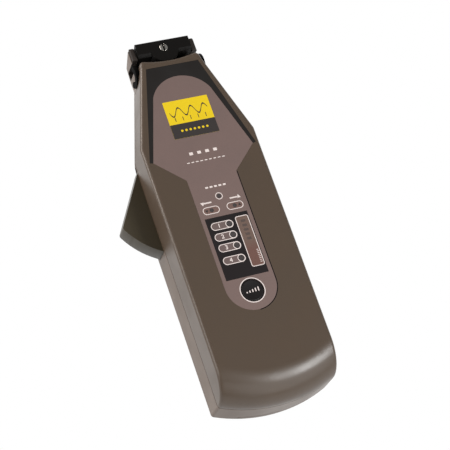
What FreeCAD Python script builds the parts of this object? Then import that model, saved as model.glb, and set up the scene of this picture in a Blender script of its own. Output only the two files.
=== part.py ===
import FreeCAD, Part
import math
import os

os.makedirs("parts", exist_ok=True)
V = FreeCAD.Vector

# Driving dimensions, in millimetres and degrees
# The device lies on its back: X to the right, Y to the fibre head, Z up out of the front face

# Clearances
GAP = 0.3
SLIP = 0.05

# Case outline
BODY_HALF = 30.0
WALL = 2.0
Y_BOTTOM = -94.9
BOTTOM_ARC_R = 74.0
BOTTOM_ROLL_R = 15.0
Y_SHOULDER = 40.8
Y_NECK = 83.6
HEAD_HALF = 16.4
FRONT_HEAD_L = 3.4
FRONT_TOP_DIP = 2.3
FRONT_TOP_R = 2.3
EDGE_R = 1.8
PARTING_OVER = 1.5
GROOVE = 0.45
FRONT_ROOM = 7.4
HEAD_BACK_Z = 6.0
SLOPE_IN = 3.2
SLOPE_OUT = 5.6
LEAN_TOP_Z = 14.6
LEAN_IN = 7.0
LEAN_RUN = 9.2
LEAN_NECK = 7.5
CHEEK_T = 2.8
CHEEK_OUT = 0.9
CHEEK_LEAN = 2.2
CHEEK_DROP = 7.2
CHEEK_OVER = 1.3
CHEEK_R = 3.5

# Front panel, window, lenses and button
PANEL_RECESS = 0.8
PANEL_T = 0.75
PANEL_STRIP_HALF = 13.0
PANEL_BOTTOM_Y = -38.5
RIM_TOP = 2.6
RIM_END = 4.5
RIM_SIDE = 2.1
BAND_FALL = 8.1
BAND_FOOT = 1.7
ARCH_FALL = 6.6
ARCH_RISE = 9.4
ARCH_SIDE_HALF = 15.2
WAIST_FALL = 12.9
WINDOW_W = 21.9
WINDOW_H = 32.6
WINDOW_Y = -18.0
WINDOW_R = 0.7
BAR_X = 7.2
BAR_Y = -17.0
BAR_W = 6.4
BAR_H = 26.4
BAR_LIP = 0.6
SIGNAL_X = 0.2
SIGNAL_TOP_Y = -6.4
SIGNAL_PITCH = 5.75
SIGNAL_LAST_PITCH = 6.7
DIRECTION_X = 6.0
DIRECTION_Y = 2.25
NO_SIGNAL_Y = 8.7
LENS_R = 1.1
LENS_EDGE_R = 0.25
LAMP_H = 3.6
LAMP_R = 1.5
LAMP_FOOT_R = 1.9
LAMP_FOOT_H = 0.9
BUTTON_Y = -41.5
BUTTON_R = 5.4
BUTTON_EDGE_R = 0.35
BUTTON_FLANGE = 1.0
BUTTON_FLANGE_T = 0.8
BUTTON_STEM_R = 2.2
BUTTON_STROKE = 0.6
SWITCH_W = 6.0
SWITCH_H = 2.0
PLUNGER_R = 1.6
PLUNGER_H = 0.8
LABEL_Y = 52.5
LABEL_W = 23.6
LABEL_H = 20.6
LABEL_T = 0.12

# Side trigger, drive pin and jaw slide
PIVOT_IN = 19.0
PIVOT_Y = 28.0
PIVOT_R = 2.0
PIVOT_BOSS_R = 5.0
PIVOT_SUNK = 1.0
LEVER_R = 39.6
LEVER_FACE = 20.4
LEVER_ANGLE = 31.0
LEVER_SPAN = 40.0
LEVER_LIFT = 2.0
LEVER_T = 10.0
LEVER_CORNER_R = 1.5
CLIP_R = 4.2
CLIP_T = 0.7
SPRING_R = 3.0
SPRING_WIRE_R = 0.5
SPRING_PITCH = 1.15
SPRING_TURNS = 2
SPRING_STEPS = 12
DRIVE_ARM = 9.4
DRIVE_SWING = 28.0
DRIVE_R = 1.5
DRIVE_ARM_R = 2.8
DRIVE_DEEP = 5.0
SLIDER_OVER = 1.4
SLIDER_T = 3.8
SLIDER_HALF = 4.5
SLIDER_FOOT = 1.9
SLIDER_FOOT_L = 6.0
RIDGE_L = 24.0
RIDGE_T = 2.2
RIDGE_BACK = 6.0
KEEPER_T = 1.2
KEEPER_SCREW_R = 0.68
KEEPER_HEAD_R = 1.1
KEEPER_HEAD_H = 0.7
KEEPER_SCREW_IN = 4.0

# Fibre head
JAW_SHORT = 0.8
JAW_DEPTH = 10.2
JAW_PLAY = 1.1
PAD_T = 0.8
FLANGE_T = 2.4
FLANGE_HALF = 9.0
JAW_SCREW_X = 7.0
JAW_SCREW_R = 1.05
JAW_SCREW_HEAD_R = 2.1
JAW_SCREW_HEAD_H = 1.5
JAW_SCREW_L = 6.0
BLOCK_H = 7.7
BLOCK_DROP = 2.8
BLOCK_LEAD = 1.4
BLOCK_EDGE_R = 0.8
NOSE_R = 7.5
NOSE_BACK = 2.85
NOSE_GAP = 0.7
HEAD_SCREW_BACK = 4.5
HEAD_SCREW_R = 1.15
HEAD_SCREW_HEAD_R = 2.1
HEAD_SCREW_HEAD_H = 1.0
SENSOR_X = 11.0
SENSOR_R = 1.25
SENSOR_L = 3.1
SENSOR_UP = 10.0
NOTCH_UP = 5.5
GUIDE_DROP = 9.0
GUIDE_R_OUT = 5.8
GUIDE_R_IN = 2.8
GUIDE_PROUD = 1.3
GUIDE_SUNK = 1.0
GUIDE_FROM = 28.0
GUIDE_TO = 242.0

# Board, battery, door and fasteners
BOARD_T = 1.6
BOARD_HALF = 24.5
BOARD_Y0 = -52.0
BOARD_Y1 = 33.0
BOARD_OVER = 0.7
BOARD_POST_R = 3.0
BOARD_SCREW_IN = 3.4
BOARD_SCREW_R = 1.05
BOARD_SCREW_HEAD_R = 2.2
BOARD_SCREW_HEAD_H = 1.4
BOARD_SCREW_GRIP = 3.6
CASE_POST_R = 3.2
CASE_SCREW_R = 1.25
CASE_SCREW_HEAD_R = 2.55
CASE_SCREW_HEAD_H = 2.0
CASE_SCREW_SUNK = 4.5
CASE_SCREW_GRIP = 8.5
CASE_SCREW_UP = 18.5
CASE_SCREW_HIGH = 14.0
CASE_SCREW_INNER = 7.0
SLOT_W = 0.6
SLOT_D = 0.6
BUZZER_R = 5.5
BUZZER_H = 4.8
BUZZER_IN = 10.5
BUZZER_Y = -27.0
LOGIC_W = 13.0
LOGIC_T = 1.5
LOGIC_IN = 12.5
LOGIC_Y = -22.0
AMPLIFIER_W = 7.0
AMPLIFIER_H = 5.0
AMPLIFIER_T = 1.4
AMPLIFIER_IN = 12.5
AMPLIFIER_Y = 8.0
BATTERY_W = 26.5
BATTERY_T = 17.5
BATTERY_L = 46.0
BATTERY_R = 2.0
BATTERY_END = 6.5
BATTERY_LIFT = 2.0
TERMINAL_X = 6.3
TERMINAL_H = 2.4
TERMINAL_SMALL_R = 2.9
TERMINAL_LARGE_R = 4.2
CONTACT_ROOM = 8.0
CONTACT_HALF = 12.5
CONTACT_H = 11.0
SOCKET_T = 1.0
SOCKET_L = 1.4
BULKHEAD_T = 2.0
BULKHEAD_IN = 0.6
DOOR_HALF = 16.0
DOOR_T = 1.8
TONGUE_W = 2.0
TONGUE_T = 1.4
TONGUE_BACK = 3.2
GRIP_W = 12.0
GRIP_T = 1.0
GRIP_D = 0.4
GRIP_PITCH = 2.4
GRIP_COUNT = 4
RIB_T = 1.6

# Sizes that follow from the ones above
BACK_EDGE_R = 0.9 * EDGE_R
TAPER = (BODY_HALF - HEAD_HALF) / (Y_NECK - Y_SHOULDER)
BATTERY_Z = DOOR_T + BATTERY_LIFT
BATTERY_Y0 = Y_BOTTOM + BATTERY_END
BATTERY_Y1 = BATTERY_Y0 + BATTERY_L
BATTERY_MID_Z = BATTERY_Z + BATTERY_T / 2
DOOR_Y1 = BATTERY_Y1 + CONTACT_ROOM
TONGUE_Z0 = DOOR_T + GAP + 0.7 * GAP
TONGUE_Z1 = TONGUE_Z0 + TONGUE_T
BOARD_Z = BATTERY_Z + BATTERY_T + BOARD_OVER
BOARD_FRONT = BOARD_Z + BOARD_T
BODY_DEPTH = BOARD_FRONT + FRONT_ROOM
BUZZER_X = BOARD_HALF - BUZZER_IN
LOGIC_X = LOGIC_IN - BOARD_HALF
AMPLIFIER_X = BOARD_HALF - AMPLIFIER_IN
CEILING_Z = BODY_DEPTH - WALL
SEAT_Z = BODY_DEPTH - PANEL_RECESS
FACE_Z = SEAT_Z + PANEL_T
LAMP_TOP = BOARD_FRONT + LAMP_H
BAR_FOOT_Z = CEILING_Z - BAR_LIP
LEVER_Z0 = WALL + LEVER_LIFT
LEVER_Z1 = LEVER_Z0 + LEVER_T
PARTING_Z = LEVER_Z1 + PARTING_OVER
SLIDER_Z0 = LEVER_Z1 + SLIDER_OVER
SLIDER_Z1 = SLIDER_Z0 + SLIDER_T
RIDGE_TOP = SLIDER_Z1 + GAP
PIVOT_X = PIVOT_IN - BODY_HALF
DRIVE_TRAVEL = 2.0 * DRIVE_ARM * math.sin(math.radians(DRIVE_SWING / 2.0))
FRONT_TOP_Y = Y_NECK + FRONT_HEAD_L
SLOPE_START_Y = Y_SHOULDER + SLOPE_IN
SLOPE_END_Y = Y_NECK - SLOPE_OUT
FLOOR_Z = HEAD_BACK_Z + WALL
CHEEK_Z = BODY_DEPTH - CHEEK_DROP
CHEEK_HALF = HEAD_HALF + CHEEK_OUT
CHEEK_NECK_Y = Y_NECK - CHEEK_OUT / TAPER
CHEEK_INNER = CHEEK_HALF - CHEEK_T
JAW_FLANK_Y = FRONT_TOP_Y - JAW_SHORT
JAW_BACK_Y = JAW_FLANK_Y - JAW_DEPTH
JAW_HALF = CHEEK_INNER - JAW_PLAY
JAW_TOP_Z = CEILING_Z - 3.0 * GAP
JAW_SCREW_Z = SLIDER_Z1
RIDGE_Y1 = JAW_BACK_Y - RIDGE_BACK
RIDGE_Y0 = RIDGE_Y1 - RIDGE_L
BLOCK_FLANK_Y = JAW_FLANK_Y + DRIVE_TRAVEL + GAP
BLOCK_TOP_Y = BLOCK_FLANK_Y + BLOCK_H
BLOCK_HALF = CHEEK_INNER - GAP
BLOCK_FRONT_Z = BODY_DEPTH - BLOCK_DROP
NOSE_Y = BLOCK_FLANK_Y + NOSE_BACK
HEAD_SCREW_Y = BLOCK_TOP_Y - HEAD_SCREW_BACK
SENSOR_Z = FLOOR_Z + SENSOR_UP
CHEEK_TOP_Y = BLOCK_TOP_Y + CHEEK_OVER
GUIDE_Y = Y_NECK + GAP
GUIDE_Z = BODY_DEPTH - GUIDE_DROP
BAND_TOP_HALF = HEAD_HALF - RIM_TOP
BAND_TOP_Y = FRONT_TOP_Y - RIM_END
BAND_LOW_HALF = BODY_HALF - RIM_SIDE
BAND_LOW_Y = Y_SHOULDER - BAND_FALL
ARCH_APEX_Y = BAND_TOP_Y - ARCH_FALL
ARCH_SIDE_Y = ARCH_APEX_Y - ARCH_RISE
WAIST_Y = BAND_LOW_Y - WAIST_FALL
FAR = 4.0 * BODY_HALF - 2.0 * Y_BOTTOM


def box(x0, x1, y0, y1, z0, z1):
    """Box between two corners."""
    return Part.makeBox(x1 - x0, y1 - y0, z1 - z0, V(x0, y0, z0))


def post(x, y, z0, z1, r):
    """Cylinder standing along Z."""
    return Part.makeCylinder(r, z1 - z0, V(x, y, z0), V(0, 0, 1))


def rod_y(x, z, y0, y1, r):
    """Cylinder lying along Y."""
    return Part.makeCylinder(r, y1 - y0, V(x, y0, z), V(0, 1, 0))


def rod_x(y, z, x0, x1, r):
    """Cylinder lying along X."""
    return Part.makeCylinder(r, x1 - x0, V(x0, y, z), V(1, 0, 0))


def prism(points, z0, z1):
    """Straight-sided prism over a polygon in the XY plane."""
    ring = [V(x, y, z0) for x, y in points]
    face = Part.Face(Part.makePolygon(ring + [ring[0]]))
    return face.extrude(V(0, 0, z1 - z0))


def prism_x(points, x0, x1):
    """Prism along X over a polygon given as (y, z) pairs."""
    ring = [V(x0, y, z) for y, z in points]
    face = Part.Face(Part.makePolygon(ring + [ring[0]]))
    return face.extrude(V(x1 - x0, 0, 0))


def union(shapes):
    """Fuse a list of shapes into one and drop the seams."""
    return shapes[0].fuse(shapes[1:]).removeSplitter()


def both_sides(shape):
    """A shape and its mirror image across the centre plane."""
    return [shape, shape.mirror(V(0, 0, 0), V(1, 0, 0))]


def upright_edges(solid, height, keep):
    """Upright edges at least as long as height whose place passes the keep test."""
    found = []
    for edge in solid.Edges:
        p, q = edge.Vertexes[0].Point, edge.Vertexes[-1].Point
        if abs(p.z - q.z) > height and keep(p.x, p.y) and keep(q.x, q.y):
            found.append(edge)
    return found


def rim_edges(solid, z):
    """Edges that lie in the level plane at height z."""
    found = []
    for edge in solid.Edges:
        span = edge.BoundBox
        if abs(span.ZMin - z) < 1e-4 and abs(span.ZMax - z) < 1e-4:
            found.append(edge)
    return found


def at_pivot(angle, r):
    """Point at a polar angle, in degrees, about the trigger pivot."""
    a = math.radians(angle)
    return V(PIVOT_X + r * math.cos(a), PIVOT_Y + r * math.sin(a), 0)


def half_width_at(y):
    """Half width of the case outline at a place along Y."""
    if y <= Y_SHOULDER:
        return BODY_HALF
    if y >= Y_NECK:
        return HEAD_HALF
    return BODY_HALF - TAPER * (y - Y_SHOULDER)


def outline_face(top_y, dip, inset, out):
    """Flat outline of the case up to top_y with a hollow top edge, shrunk by inset, its head wider by out."""
    half = BODY_HALF - inset
    head = HEAD_HALF + out - inset
    neck_y = Y_NECK - out / TAPER
    arc_r = BOTTOM_ARC_R - inset
    low = Y_BOTTOM + inset
    side = low + arc_r - math.sqrt(arc_r * arc_r - half * half)
    shift = inset * (math.sqrt(1.0 + TAPER * TAPER) - 1.0) / TAPER
    top = top_y - inset
    a, b = V(-half, side, 0), V(half, side, 0)
    c, d = V(half, Y_SHOULDER - shift, 0), V(head, neck_y - shift, 0)
    e, f = V(head, top, 0), V(-head, top, 0)
    g, h = V(-head, neck_y - shift, 0), V(-half, Y_SHOULDER - shift, 0)
    edges = [Part.Arc(a, V(0, low, 0), b).toShape()]
    edges += [Part.makeLine(b, c), Part.makeLine(c, d), Part.makeLine(d, e)]
    if dip > 0:
        edges.append(Part.Arc(e, V(0, top - dip, 0), f).toShape())
    else:
        edges.append(Part.makeLine(e, f))
    edges += [Part.makeLine(f, g), Part.makeLine(g, h), Part.makeLine(h, a)]
    return Part.Face(Part.Wire(edges))


def outline_solid(top_y, dip, inset, z0, z1, top_r, low_r, out=0.0):
    """Outline between two heights with its head corners and its bottom corners rounded where a radius is given."""
    face = outline_face(top_y, dip, inset, out)
    face.translate(V(0, 0, z0))
    solid = face.extrude(V(0, 0, z1 - z0))
    tall = 0.5 * (z1 - z0)
    if low_r > 0:
        solid = solid.makeFillet(low_r, upright_edges(solid, tall, lambda x, y: y < 0.7 * Y_BOTTOM))
    if top_r > 0:
        solid = solid.makeFillet(top_r, upright_edges(solid, tall, lambda x, y: y > top_y - inset - SLIP))
    return solid


def rolled(solid, top_z, inset):
    """A solid whose top is rolled down over the curved bottom end."""
    end = [edge for edge in rim_edges(solid, top_z) if edge.BoundBox.YMax < 0.7 * Y_BOTTOM]
    return solid.makeFillet(BOTTOM_ROLL_R - inset, end)


def front_edges(solid):
    """Edges around the front face, down both ends of the roll and at the bottom corners."""
    found = []
    for edge in solid.Edges:
        span = edge.BoundBox
        seam = span.XLength > BODY_HALF and span.YMax < 0.7 * Y_BOTTOM
        upright = span.ZLength > max(span.XLength, span.YLength) and span.YMax > 0.7 * Y_BOTTOM
        if span.ZMax > PARTING_Z + SLIP and not seam and not upright:
            found.append(edge)
    return found


def lean_wedge(shift):
    """Block outside the slanted plane that draws in the back of the right tapered wall."""
    high = V(BODY_HALF, Y_SHOULDER, LEAN_TOP_Z)
    neck = V(CHEEK_HALF, CHEEK_NECK_Y, HEAD_BACK_Z + LEAN_NECK)
    low = V(BODY_HALF - LEAN_IN, Y_SHOULDER + LEAN_RUN, 0)
    along = (neck - high).normalize()
    out = (low - high).cross(neck - high).normalize()
    across = out.cross(along).normalize()
    start = high - out * shift
    ring = [start + along * a + across * b for a, b in ((-FAR, -FAR), (FAR, -FAR), (FAR, FAR), (-FAR, FAR))]
    face = Part.Face(Part.makePolygon(ring + [ring[0]]))
    return face.extrude(out * FAR).common(box(0, FAR, 0, CHEEK_NECK_Y, -FAR, LEAN_TOP_Z))


def cheek_wedge():
    """Block that draws in the back of the right cheek."""
    y0, z1 = CHEEK_NECK_Y, HEAD_BACK_Z + LEAN_NECK
    x0, x1 = CHEEK_HALF, CHEEK_HALF + WALL
    ring = [V(x0, y0, z1), V(x1, y0, z1), V(x1, y0, HEAD_BACK_Z), V(x0 - CHEEK_LEAN, y0, HEAD_BACK_Z)]
    return Part.Face(Part.makePolygon(ring + [ring[0]])).extrude(V(0, FAR, 0))


def lower_profile():
    """Side profile of the rear shell with its raised head and cheeks, as a prism along X."""
    pts = [(-FAR, 0), (SLOPE_START_Y, 0), (SLOPE_END_Y, HEAD_BACK_Z), (FAR, HEAD_BACK_Z)]
    pts += [(FAR, CHEEK_Z), (SLOPE_END_Y, CHEEK_Z), (SLOPE_END_Y, PARTING_Z), (-FAR, PARTING_Z)]
    return prism_x(pts, -FAR, FAR)


def above_floor(lift):
    """Space above the rear shell's floor line raised by lift, as a prism along X."""
    pts = [(-FAR, lift), (SLOPE_START_Y - lift / 2, lift), (SLOPE_END_Y - lift / 2, HEAD_BACK_Z + lift)]
    pts += [(FAR, HEAD_BACK_Z + lift), (FAR, FAR), (-FAR, FAR)]
    return prism_x(pts, -FAR, FAR)


def panel_shoulder(grow):
    """Lower outer corner of the panel's head part."""
    return BAND_LOW_HALF - BAND_FOOT + grow, BAND_LOW_Y - 0.25 * BAND_FOOT - grow * 0.3


def panel_solid(grow, z0, z1):
    """Control panel between two heights: arched head, slanted shoulders, waist and rounded strip."""
    strip = PANEL_STRIP_HALF + grow
    low_x, low_y = panel_shoulder(grow)
    arch_x = ARCH_SIDE_HALF + grow
    waist_y = WAIST_Y - grow * 0.4
    a, b = V(-strip, PANEL_BOTTOM_Y, z0), V(strip, PANEL_BOTTOM_Y, z0)
    c, d = V(strip, waist_y, z0), V(low_x, low_y, z0)
    e, f = V(arch_x, ARCH_SIDE_Y, z0), V(-arch_x, ARCH_SIDE_Y, z0)
    g, h = V(-low_x, low_y, z0), V(-strip, waist_y, z0)
    edges = [Part.Arc(a, V(0, PANEL_BOTTOM_Y - strip, z0), b).toShape()]
    edges += [Part.makeLine(b, c), Part.makeLine(c, d), Part.makeLine(d, e)]
    edges.append(Part.Arc(e, V(0, ARCH_APEX_Y + grow, z0), f).toShape())
    edges += [Part.makeLine(f, g), Part.makeLine(g, h), Part.makeLine(h, a)]
    return Part.Face(Part.Wire(edges)).extrude(V(0, 0, z1 - z0))


def band_solid(grow, z0, z1):
    """Black border region around the panel's arched head."""
    low_x, low_y = panel_shoulder(0.0)
    right = [(BAND_TOP_HALF + grow, BAND_TOP_Y + grow), (BAND_LOW_HALF + grow, BAND_LOW_Y - grow)]
    right.append((low_x, low_y - grow))
    left = [(-x, y) for x, y in reversed(right)]
    return prism(right + left, z0, z1)


def signal_places():
    """Centres of the four signal lenses; the last stands a little apart."""
    ys = [SIGNAL_TOP_Y - SIGNAL_PITCH * i for i in range(3)]
    ys.append(ys[-1] - SIGNAL_LAST_PITCH)
    return [(SIGNAL_X, y) for y in ys]


def direction_places():
    """Centres of the two direction lenses."""
    return [(-DIRECTION_X, DIRECTION_Y), (DIRECTION_X, DIRECTION_Y)]


def panel_lens_places():
    """Centres of the lenses that show through the panel film."""
    return direction_places() + [(0.0, NO_SIGNAL_Y)]


def lens_places():
    """Centres of all round lenses on the front."""
    return signal_places() + panel_lens_places()


def case_screw_places():
    """Centres of the four long case screws."""
    low_x = BODY_HALF - WALL - CASE_POST_R - GAP
    low_y = Y_BOTTOM + CASE_SCREW_UP
    high_y = Y_SHOULDER + CASE_SCREW_HIGH
    high_x = half_width_at(high_y) - WALL - CASE_SCREW_INNER
    return [(low_x, low_y), (-low_x, low_y), (high_x, high_y), (-high_x, high_y)]


def board_screw_places():
    """Centres of the four board screws."""
    x = BOARD_HALF - BOARD_SCREW_IN
    low_y, high_y = BOARD_Y0 + BOARD_SCREW_IN, BOARD_Y1 - BOARD_SCREW_IN
    return [(x, low_y), (-x, low_y), (x, high_y), (-x, high_y)]


def keeper_screw_places():
    """Centres of the four slide keeper screws."""
    x = SLIDER_HALF + GAP + RIDGE_T / 2
    ys = (RIDGE_Y0 + KEEPER_SCREW_IN, RIDGE_Y1 - KEEPER_SCREW_IN)
    return [(sx, y) for sx in (-x, x) for y in ys]


def window_box(grow, z0, z1):
    """Block of the display window area."""
    w, h = WINDOW_W / 2 + grow, WINDOW_H / 2 + grow
    return box(-w, w, WINDOW_Y - h, WINDOW_Y + h, z0, z1)


def bar_box(grow, z0, z1):
    """Block of the level bar area."""
    w, h = BAR_W / 2 + grow, BAR_H / 2 + grow
    return box(BAR_X - w, BAR_X + w, BAR_Y - h, BAR_Y + h, z0, z1)


def front_outer():
    """Outside form of the front shell before it is hollowed."""
    corner_r = min(FRONT_TOP_R, 0.68 * FRONT_HEAD_L)
    shell = outline_solid(FRONT_TOP_Y, FRONT_TOP_DIP, 0, PARTING_Z, BODY_DEPTH, corner_r, 0)
    shell = rolled(shell, BODY_DEPTH, 0)
    return shell.makeFillet(EDGE_R, front_edges(shell))


def front_shell():
    """Front half of the case with its panel recess, lens holes and screw posts."""
    outer = front_outer()
    room = outline_solid(FAR, 0, WALL, PARTING_Z - WALL, CEILING_Z, 0, 0)
    shell = outer.cut(rolled(room, CEILING_Z, WALL))
    over = BODY_DEPTH + WALL
    cuts = [panel_solid(SLIP, SEAT_Z, over), band_solid(SLIP, SEAT_Z, over)]
    cuts += [post(x, y, CEILING_Z - WALL, BODY_DEPTH, LENS_R + SLIP) for x, y in lens_places()]
    cuts.append(bar_box(-BAR_LIP, CEILING_Z - WALL, BODY_DEPTH))
    cuts.append(post(0, BUTTON_Y, CEILING_Z - WALL, BODY_DEPTH, BUTTON_R + GAP))
    cuts.append(box(-FAR, FAR, SLOPE_END_Y - GAP, FAR, 0, CHEEK_Z + GAP))
    for sign in (-1, 1):
        x0, x1 = sorted((sign * (CHEEK_INNER - GUIDE_SUNK), sign * FAR))
        cuts.append(rod_x(GUIDE_Y, GUIDE_Z, x0, x1, GUIDE_R_OUT + GAP))
    shell = shell.cut(cuts)
    posts = [post(x, y, PARTING_Z + GAP, CEILING_Z, CASE_POST_R) for x, y in case_screw_places()]
    posts += [post(x, y, BOARD_FRONT, CEILING_Z, BOARD_POST_R) for x, y in board_screw_places()]
    shell = shell.fuse([boss.common(outer) for boss in posts])
    bores = [post(x, y, PARTING_Z, PARTING_Z + CASE_SCREW_GRIP + GAP, CASE_SCREW_R + SLIP)
             for x, y in case_screw_places()]
    bores += [post(x, y, BOARD_Z, BOARD_FRONT + BOARD_SCREW_GRIP + GAP, BOARD_SCREW_R + SLIP)
              for x, y in board_screw_places()]
    return shell.cut(bores).removeSplitter()


def trigger_slot():
    """Opening in the left wall that the trigger swings through."""
    foot = at_pivot(180.0 - LEVER_ANGLE, LEVER_FACE)
    z0, z1 = LEVER_Z0 - GAP, LEVER_Z1 + GAP
    wall = box(-FAR, foot.x + 2.0 * WALL, PIVOT_Y - FAR, foot.y + 3.0 * GAP, z0, z1)
    return wall.common(post(PIVOT_X, PIVOT_Y, z0, z1, LEVER_R + GAP))


def rear_outer():
    """Outside form of the rear shell before it is hollowed."""
    shell = outline_solid(CHEEK_TOP_Y, 0, 0, 0, CHEEK_Z, 0, EDGE_R, CHEEK_OUT)
    shell = shell.makeFillet(BACK_EDGE_R, rim_edges(shell, 0))
    return shell.common(lower_profile()).cut(both_sides(lean_wedge(0)) + both_sides(cheek_wedge()))


def rear_room():
    """Hollow of the rear shell, with a straight channel between the cheeks."""
    room = outline_solid(FAR, 0, WALL, WALL, FAR, 0, 0)
    room = room.makeFillet(BACK_EDGE_R / 2, rim_edges(room, WALL))
    room = room.cut(both_sides(lean_wedge(WALL))).common(above_floor(WALL))
    room = room.cut(box(-FAR, FAR, SLOPE_END_Y - WALL, 2 * FAR, -WALL, 2 * FAR))
    channel = box(-CHEEK_INNER, CHEEK_INNER, SLOPE_END_Y - 3 * WALL, 2 * FAR, FLOOR_Z, 2 * FAR)
    return room.fuse(channel)


def parting_groove():
    """Shadow line around the case just below the parting plane."""
    z0, z1 = PARTING_Z - GROOVE, PARTING_Z
    core = outline_solid(CHEEK_TOP_Y, 0, GROOVE, z0, z1, 0, EDGE_R - GROOVE)
    ring = outline_solid(CHEEK_TOP_Y, 0, -WALL, z0, z1, 0, 0).cut(core)
    return ring.common(box(-FAR, FAR, -FAR, SLOPE_END_Y - WALL, z0, z1))


def door_room():
    """Space that the sliding battery door needs in the back and the bottom end."""
    plate = box(-DOOR_HALF - GAP, DOOR_HALF + GAP, -FAR, DOOR_Y1 + GAP, -WALL, TONGUE_Z1 + GAP)
    w = DOOR_HALF + TONGUE_W + GAP
    tongue = box(-w, w, -FAR, DOOR_Y1 - TONGUE_BACK + GAP, TONGUE_Z0 - GAP, TONGUE_Z1 + GAP)
    return plate.fuse(tongue)


def cheek_rounding():
    """Cutter that rounds the front corner of each cheek at its head end."""
    y, z = CHEEK_TOP_Y - CHEEK_R, CHEEK_Z - CHEEK_R
    return box(-FAR, FAR, y, FAR, z, FAR).cut(rod_x(y, z, -2 * FAR, 2 * FAR, CHEEK_R))


def fibre_notch():
    """Notch through both cheeks that the fibre lies in."""
    return box(-FAR, FAR, JAW_FLANK_Y + GAP / 3, BLOCK_FLANK_Y - GAP, FLOOR_Z + NOTCH_UP, FAR)


def slide_ridges():
    """Two ridges and a ledge on the floor of the rear shell that carry the jaw slide."""
    x = SLIDER_HALF + GAP
    ridge = box(x, x + RIDGE_T, RIDGE_Y0, RIDGE_Y1, 0, RIDGE_TOP)
    ledge = box(-x - SLIP, x + SLIP, RIDGE_Y0, RIDGE_Y1, 0, SLIDER_Z0 - GAP)
    return [s.common(above_floor(WALL / 2)) for s in both_sides(ridge) + [ledge]]


def battery_rib():
    """Upright rib with webs that keeps the battery from moving sideways."""
    x0 = DOOR_HALF + TONGUE_W + 2.0 * GAP
    y0, y1 = BATTERY_Y0 + BATTERY_END, BATTERY_Y1
    top = PARTING_Z - GAP
    rib = box(x0, x0 + RIB_T, y0, y1, WALL / 2, top)
    webs = []
    for share in (0.15, 0.5, 0.85):
        y = y0 + share * (y1 - y0)
        webs.append(box(BATTERY_W / 2 + GAP, x0 + RIB_T / 2, y, y + RIB_T, TONGUE_Z1 + 2 * GAP, top))
    return union([rib] + webs)


def rear_shell():
    """Rear half of the case with cheeks, trigger slot, slide ridges and battery bay."""
    outer = rear_outer()
    shell = outer.cut(rear_room())
    solids = [post(PIVOT_X, PIVOT_Y, WALL / 2, LEVER_Z0 - GAP, PIVOT_BOSS_R)]
    solids += [post(x, y, 0, PARTING_Z - GAP, CASE_POST_R).common(outer) for x, y in case_screw_places()]
    solids += slide_ridges()
    wall_y = DOOR_Y1 + BULKHEAD_IN
    solids.append(box(-DOOR_HALF, DOOR_HALF, wall_y, wall_y + BULKHEAD_T, WALL / 2, PARTING_Z - GAP))
    solids += both_sides(battery_rib())
    shell = union([shell] + solids)
    cuts = [trigger_slot(), door_room(), cheek_rounding(), fibre_notch(), parting_groove()]
    cuts.append(post(PIVOT_X, PIVOT_Y, PIVOT_SUNK, LEVER_Z0, PIVOT_R + SLIP / 2))
    for x, y in case_screw_places():
        cuts.append(post(x, y, -WALL, PARTING_Z, CASE_SCREW_R + 3 * SLIP))
        cuts.append(post(x, y, -WALL, CASE_SCREW_SUNK + CASE_SCREW_HEAD_H, CASE_SCREW_HEAD_R + 3 * SLIP))
    cuts += [post(x, y, SLIDER_Z0, RIDGE_TOP, KEEPER_SCREW_R + SLIP / 2) for x, y in keeper_screw_places()]
    cuts.append(post(0, HEAD_SCREW_Y, HEAD_BACK_Z + WALL / 3, FLOOR_Z, HEAD_SCREW_R + SLIP))
    cuts += [guide_ring(sign, SLIP / 2) for sign in (-1, 1)]
    return shell.cut(cuts).removeSplitter()


def guide_ring(sign, grow):
    """C-shaped fibre guide let into the side of the head; sign picks the side."""
    base = CHEEK_HALF - GUIDE_SUNK - grow
    x0, x1 = sorted((sign * base, sign * (CHEEK_HALF + GUIDE_PROUD)))
    ring = rod_x(GUIDE_Y, GUIDE_Z, x0, x1, GUIDE_R_OUT + grow)
    ring = ring.cut(rod_x(GUIDE_Y, GUIDE_Z, x0, x1, GUIDE_R_IN - grow))
    reach = 3.0 * GUIDE_R_OUT
    start, end = math.radians(GUIDE_FROM), math.radians(GUIDE_TO - 360.0)
    pts = [(GUIDE_Y, GUIDE_Z), (GUIDE_Y + reach * math.cos(end), GUIDE_Z + reach * math.sin(end))]
    pts.append((GUIDE_Y + reach, GUIDE_Z - reach))
    pts.append((GUIDE_Y + reach * math.cos(start), GUIDE_Z + reach * math.sin(start)))
    return ring.cut(prism_x(pts, x0 - WALL, x1 + WALL))


def overlay_panel():
    """Printed control panel let into the front, with openings for window, lenses and button."""
    z0, z1 = SEAT_Z - WALL, BODY_DEPTH + WALL
    cuts = [window_box(SLIP, z0, z1), post(0, BUTTON_Y, z0, z1, BUTTON_R + GAP)]
    cuts += [post(x, y, z0, z1, LENS_R + SLIP) for x, y in panel_lens_places()]
    return panel_solid(0, SEAT_Z, FACE_Z).cut(cuts)


def border_band():
    """Black border inlay around the arched head of the panel."""
    return band_solid(0, SEAT_Z, FACE_Z).cut(panel_solid(SLIP, SEAT_Z - WALL, BODY_DEPTH + WALL))


def display_window():
    """Dark window plate with holes for the signal lenses and a slot for the level bar."""
    plate = window_box(0, SEAT_Z, FACE_Z)
    plate = plate.makeFillet(WINDOW_R, upright_edges(plate, PANEL_T / 2, lambda x, y: True))
    z0, z1 = SEAT_Z - WALL, BODY_DEPTH + WALL
    cuts = [post(x, y, z0, z1, LENS_R + SLIP) for x, y in signal_places()]
    return plate.cut(cuts + [bar_box(SLIP, z0, z1)])


def bar_lens():
    """Translucent lens over the level bar, seated in the shell's opening."""
    return union([bar_box(0, SEAT_Z, FACE_Z), bar_box(-BAR_LIP - SLIP, BAR_FOOT_Z, SEAT_Z)])


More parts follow.
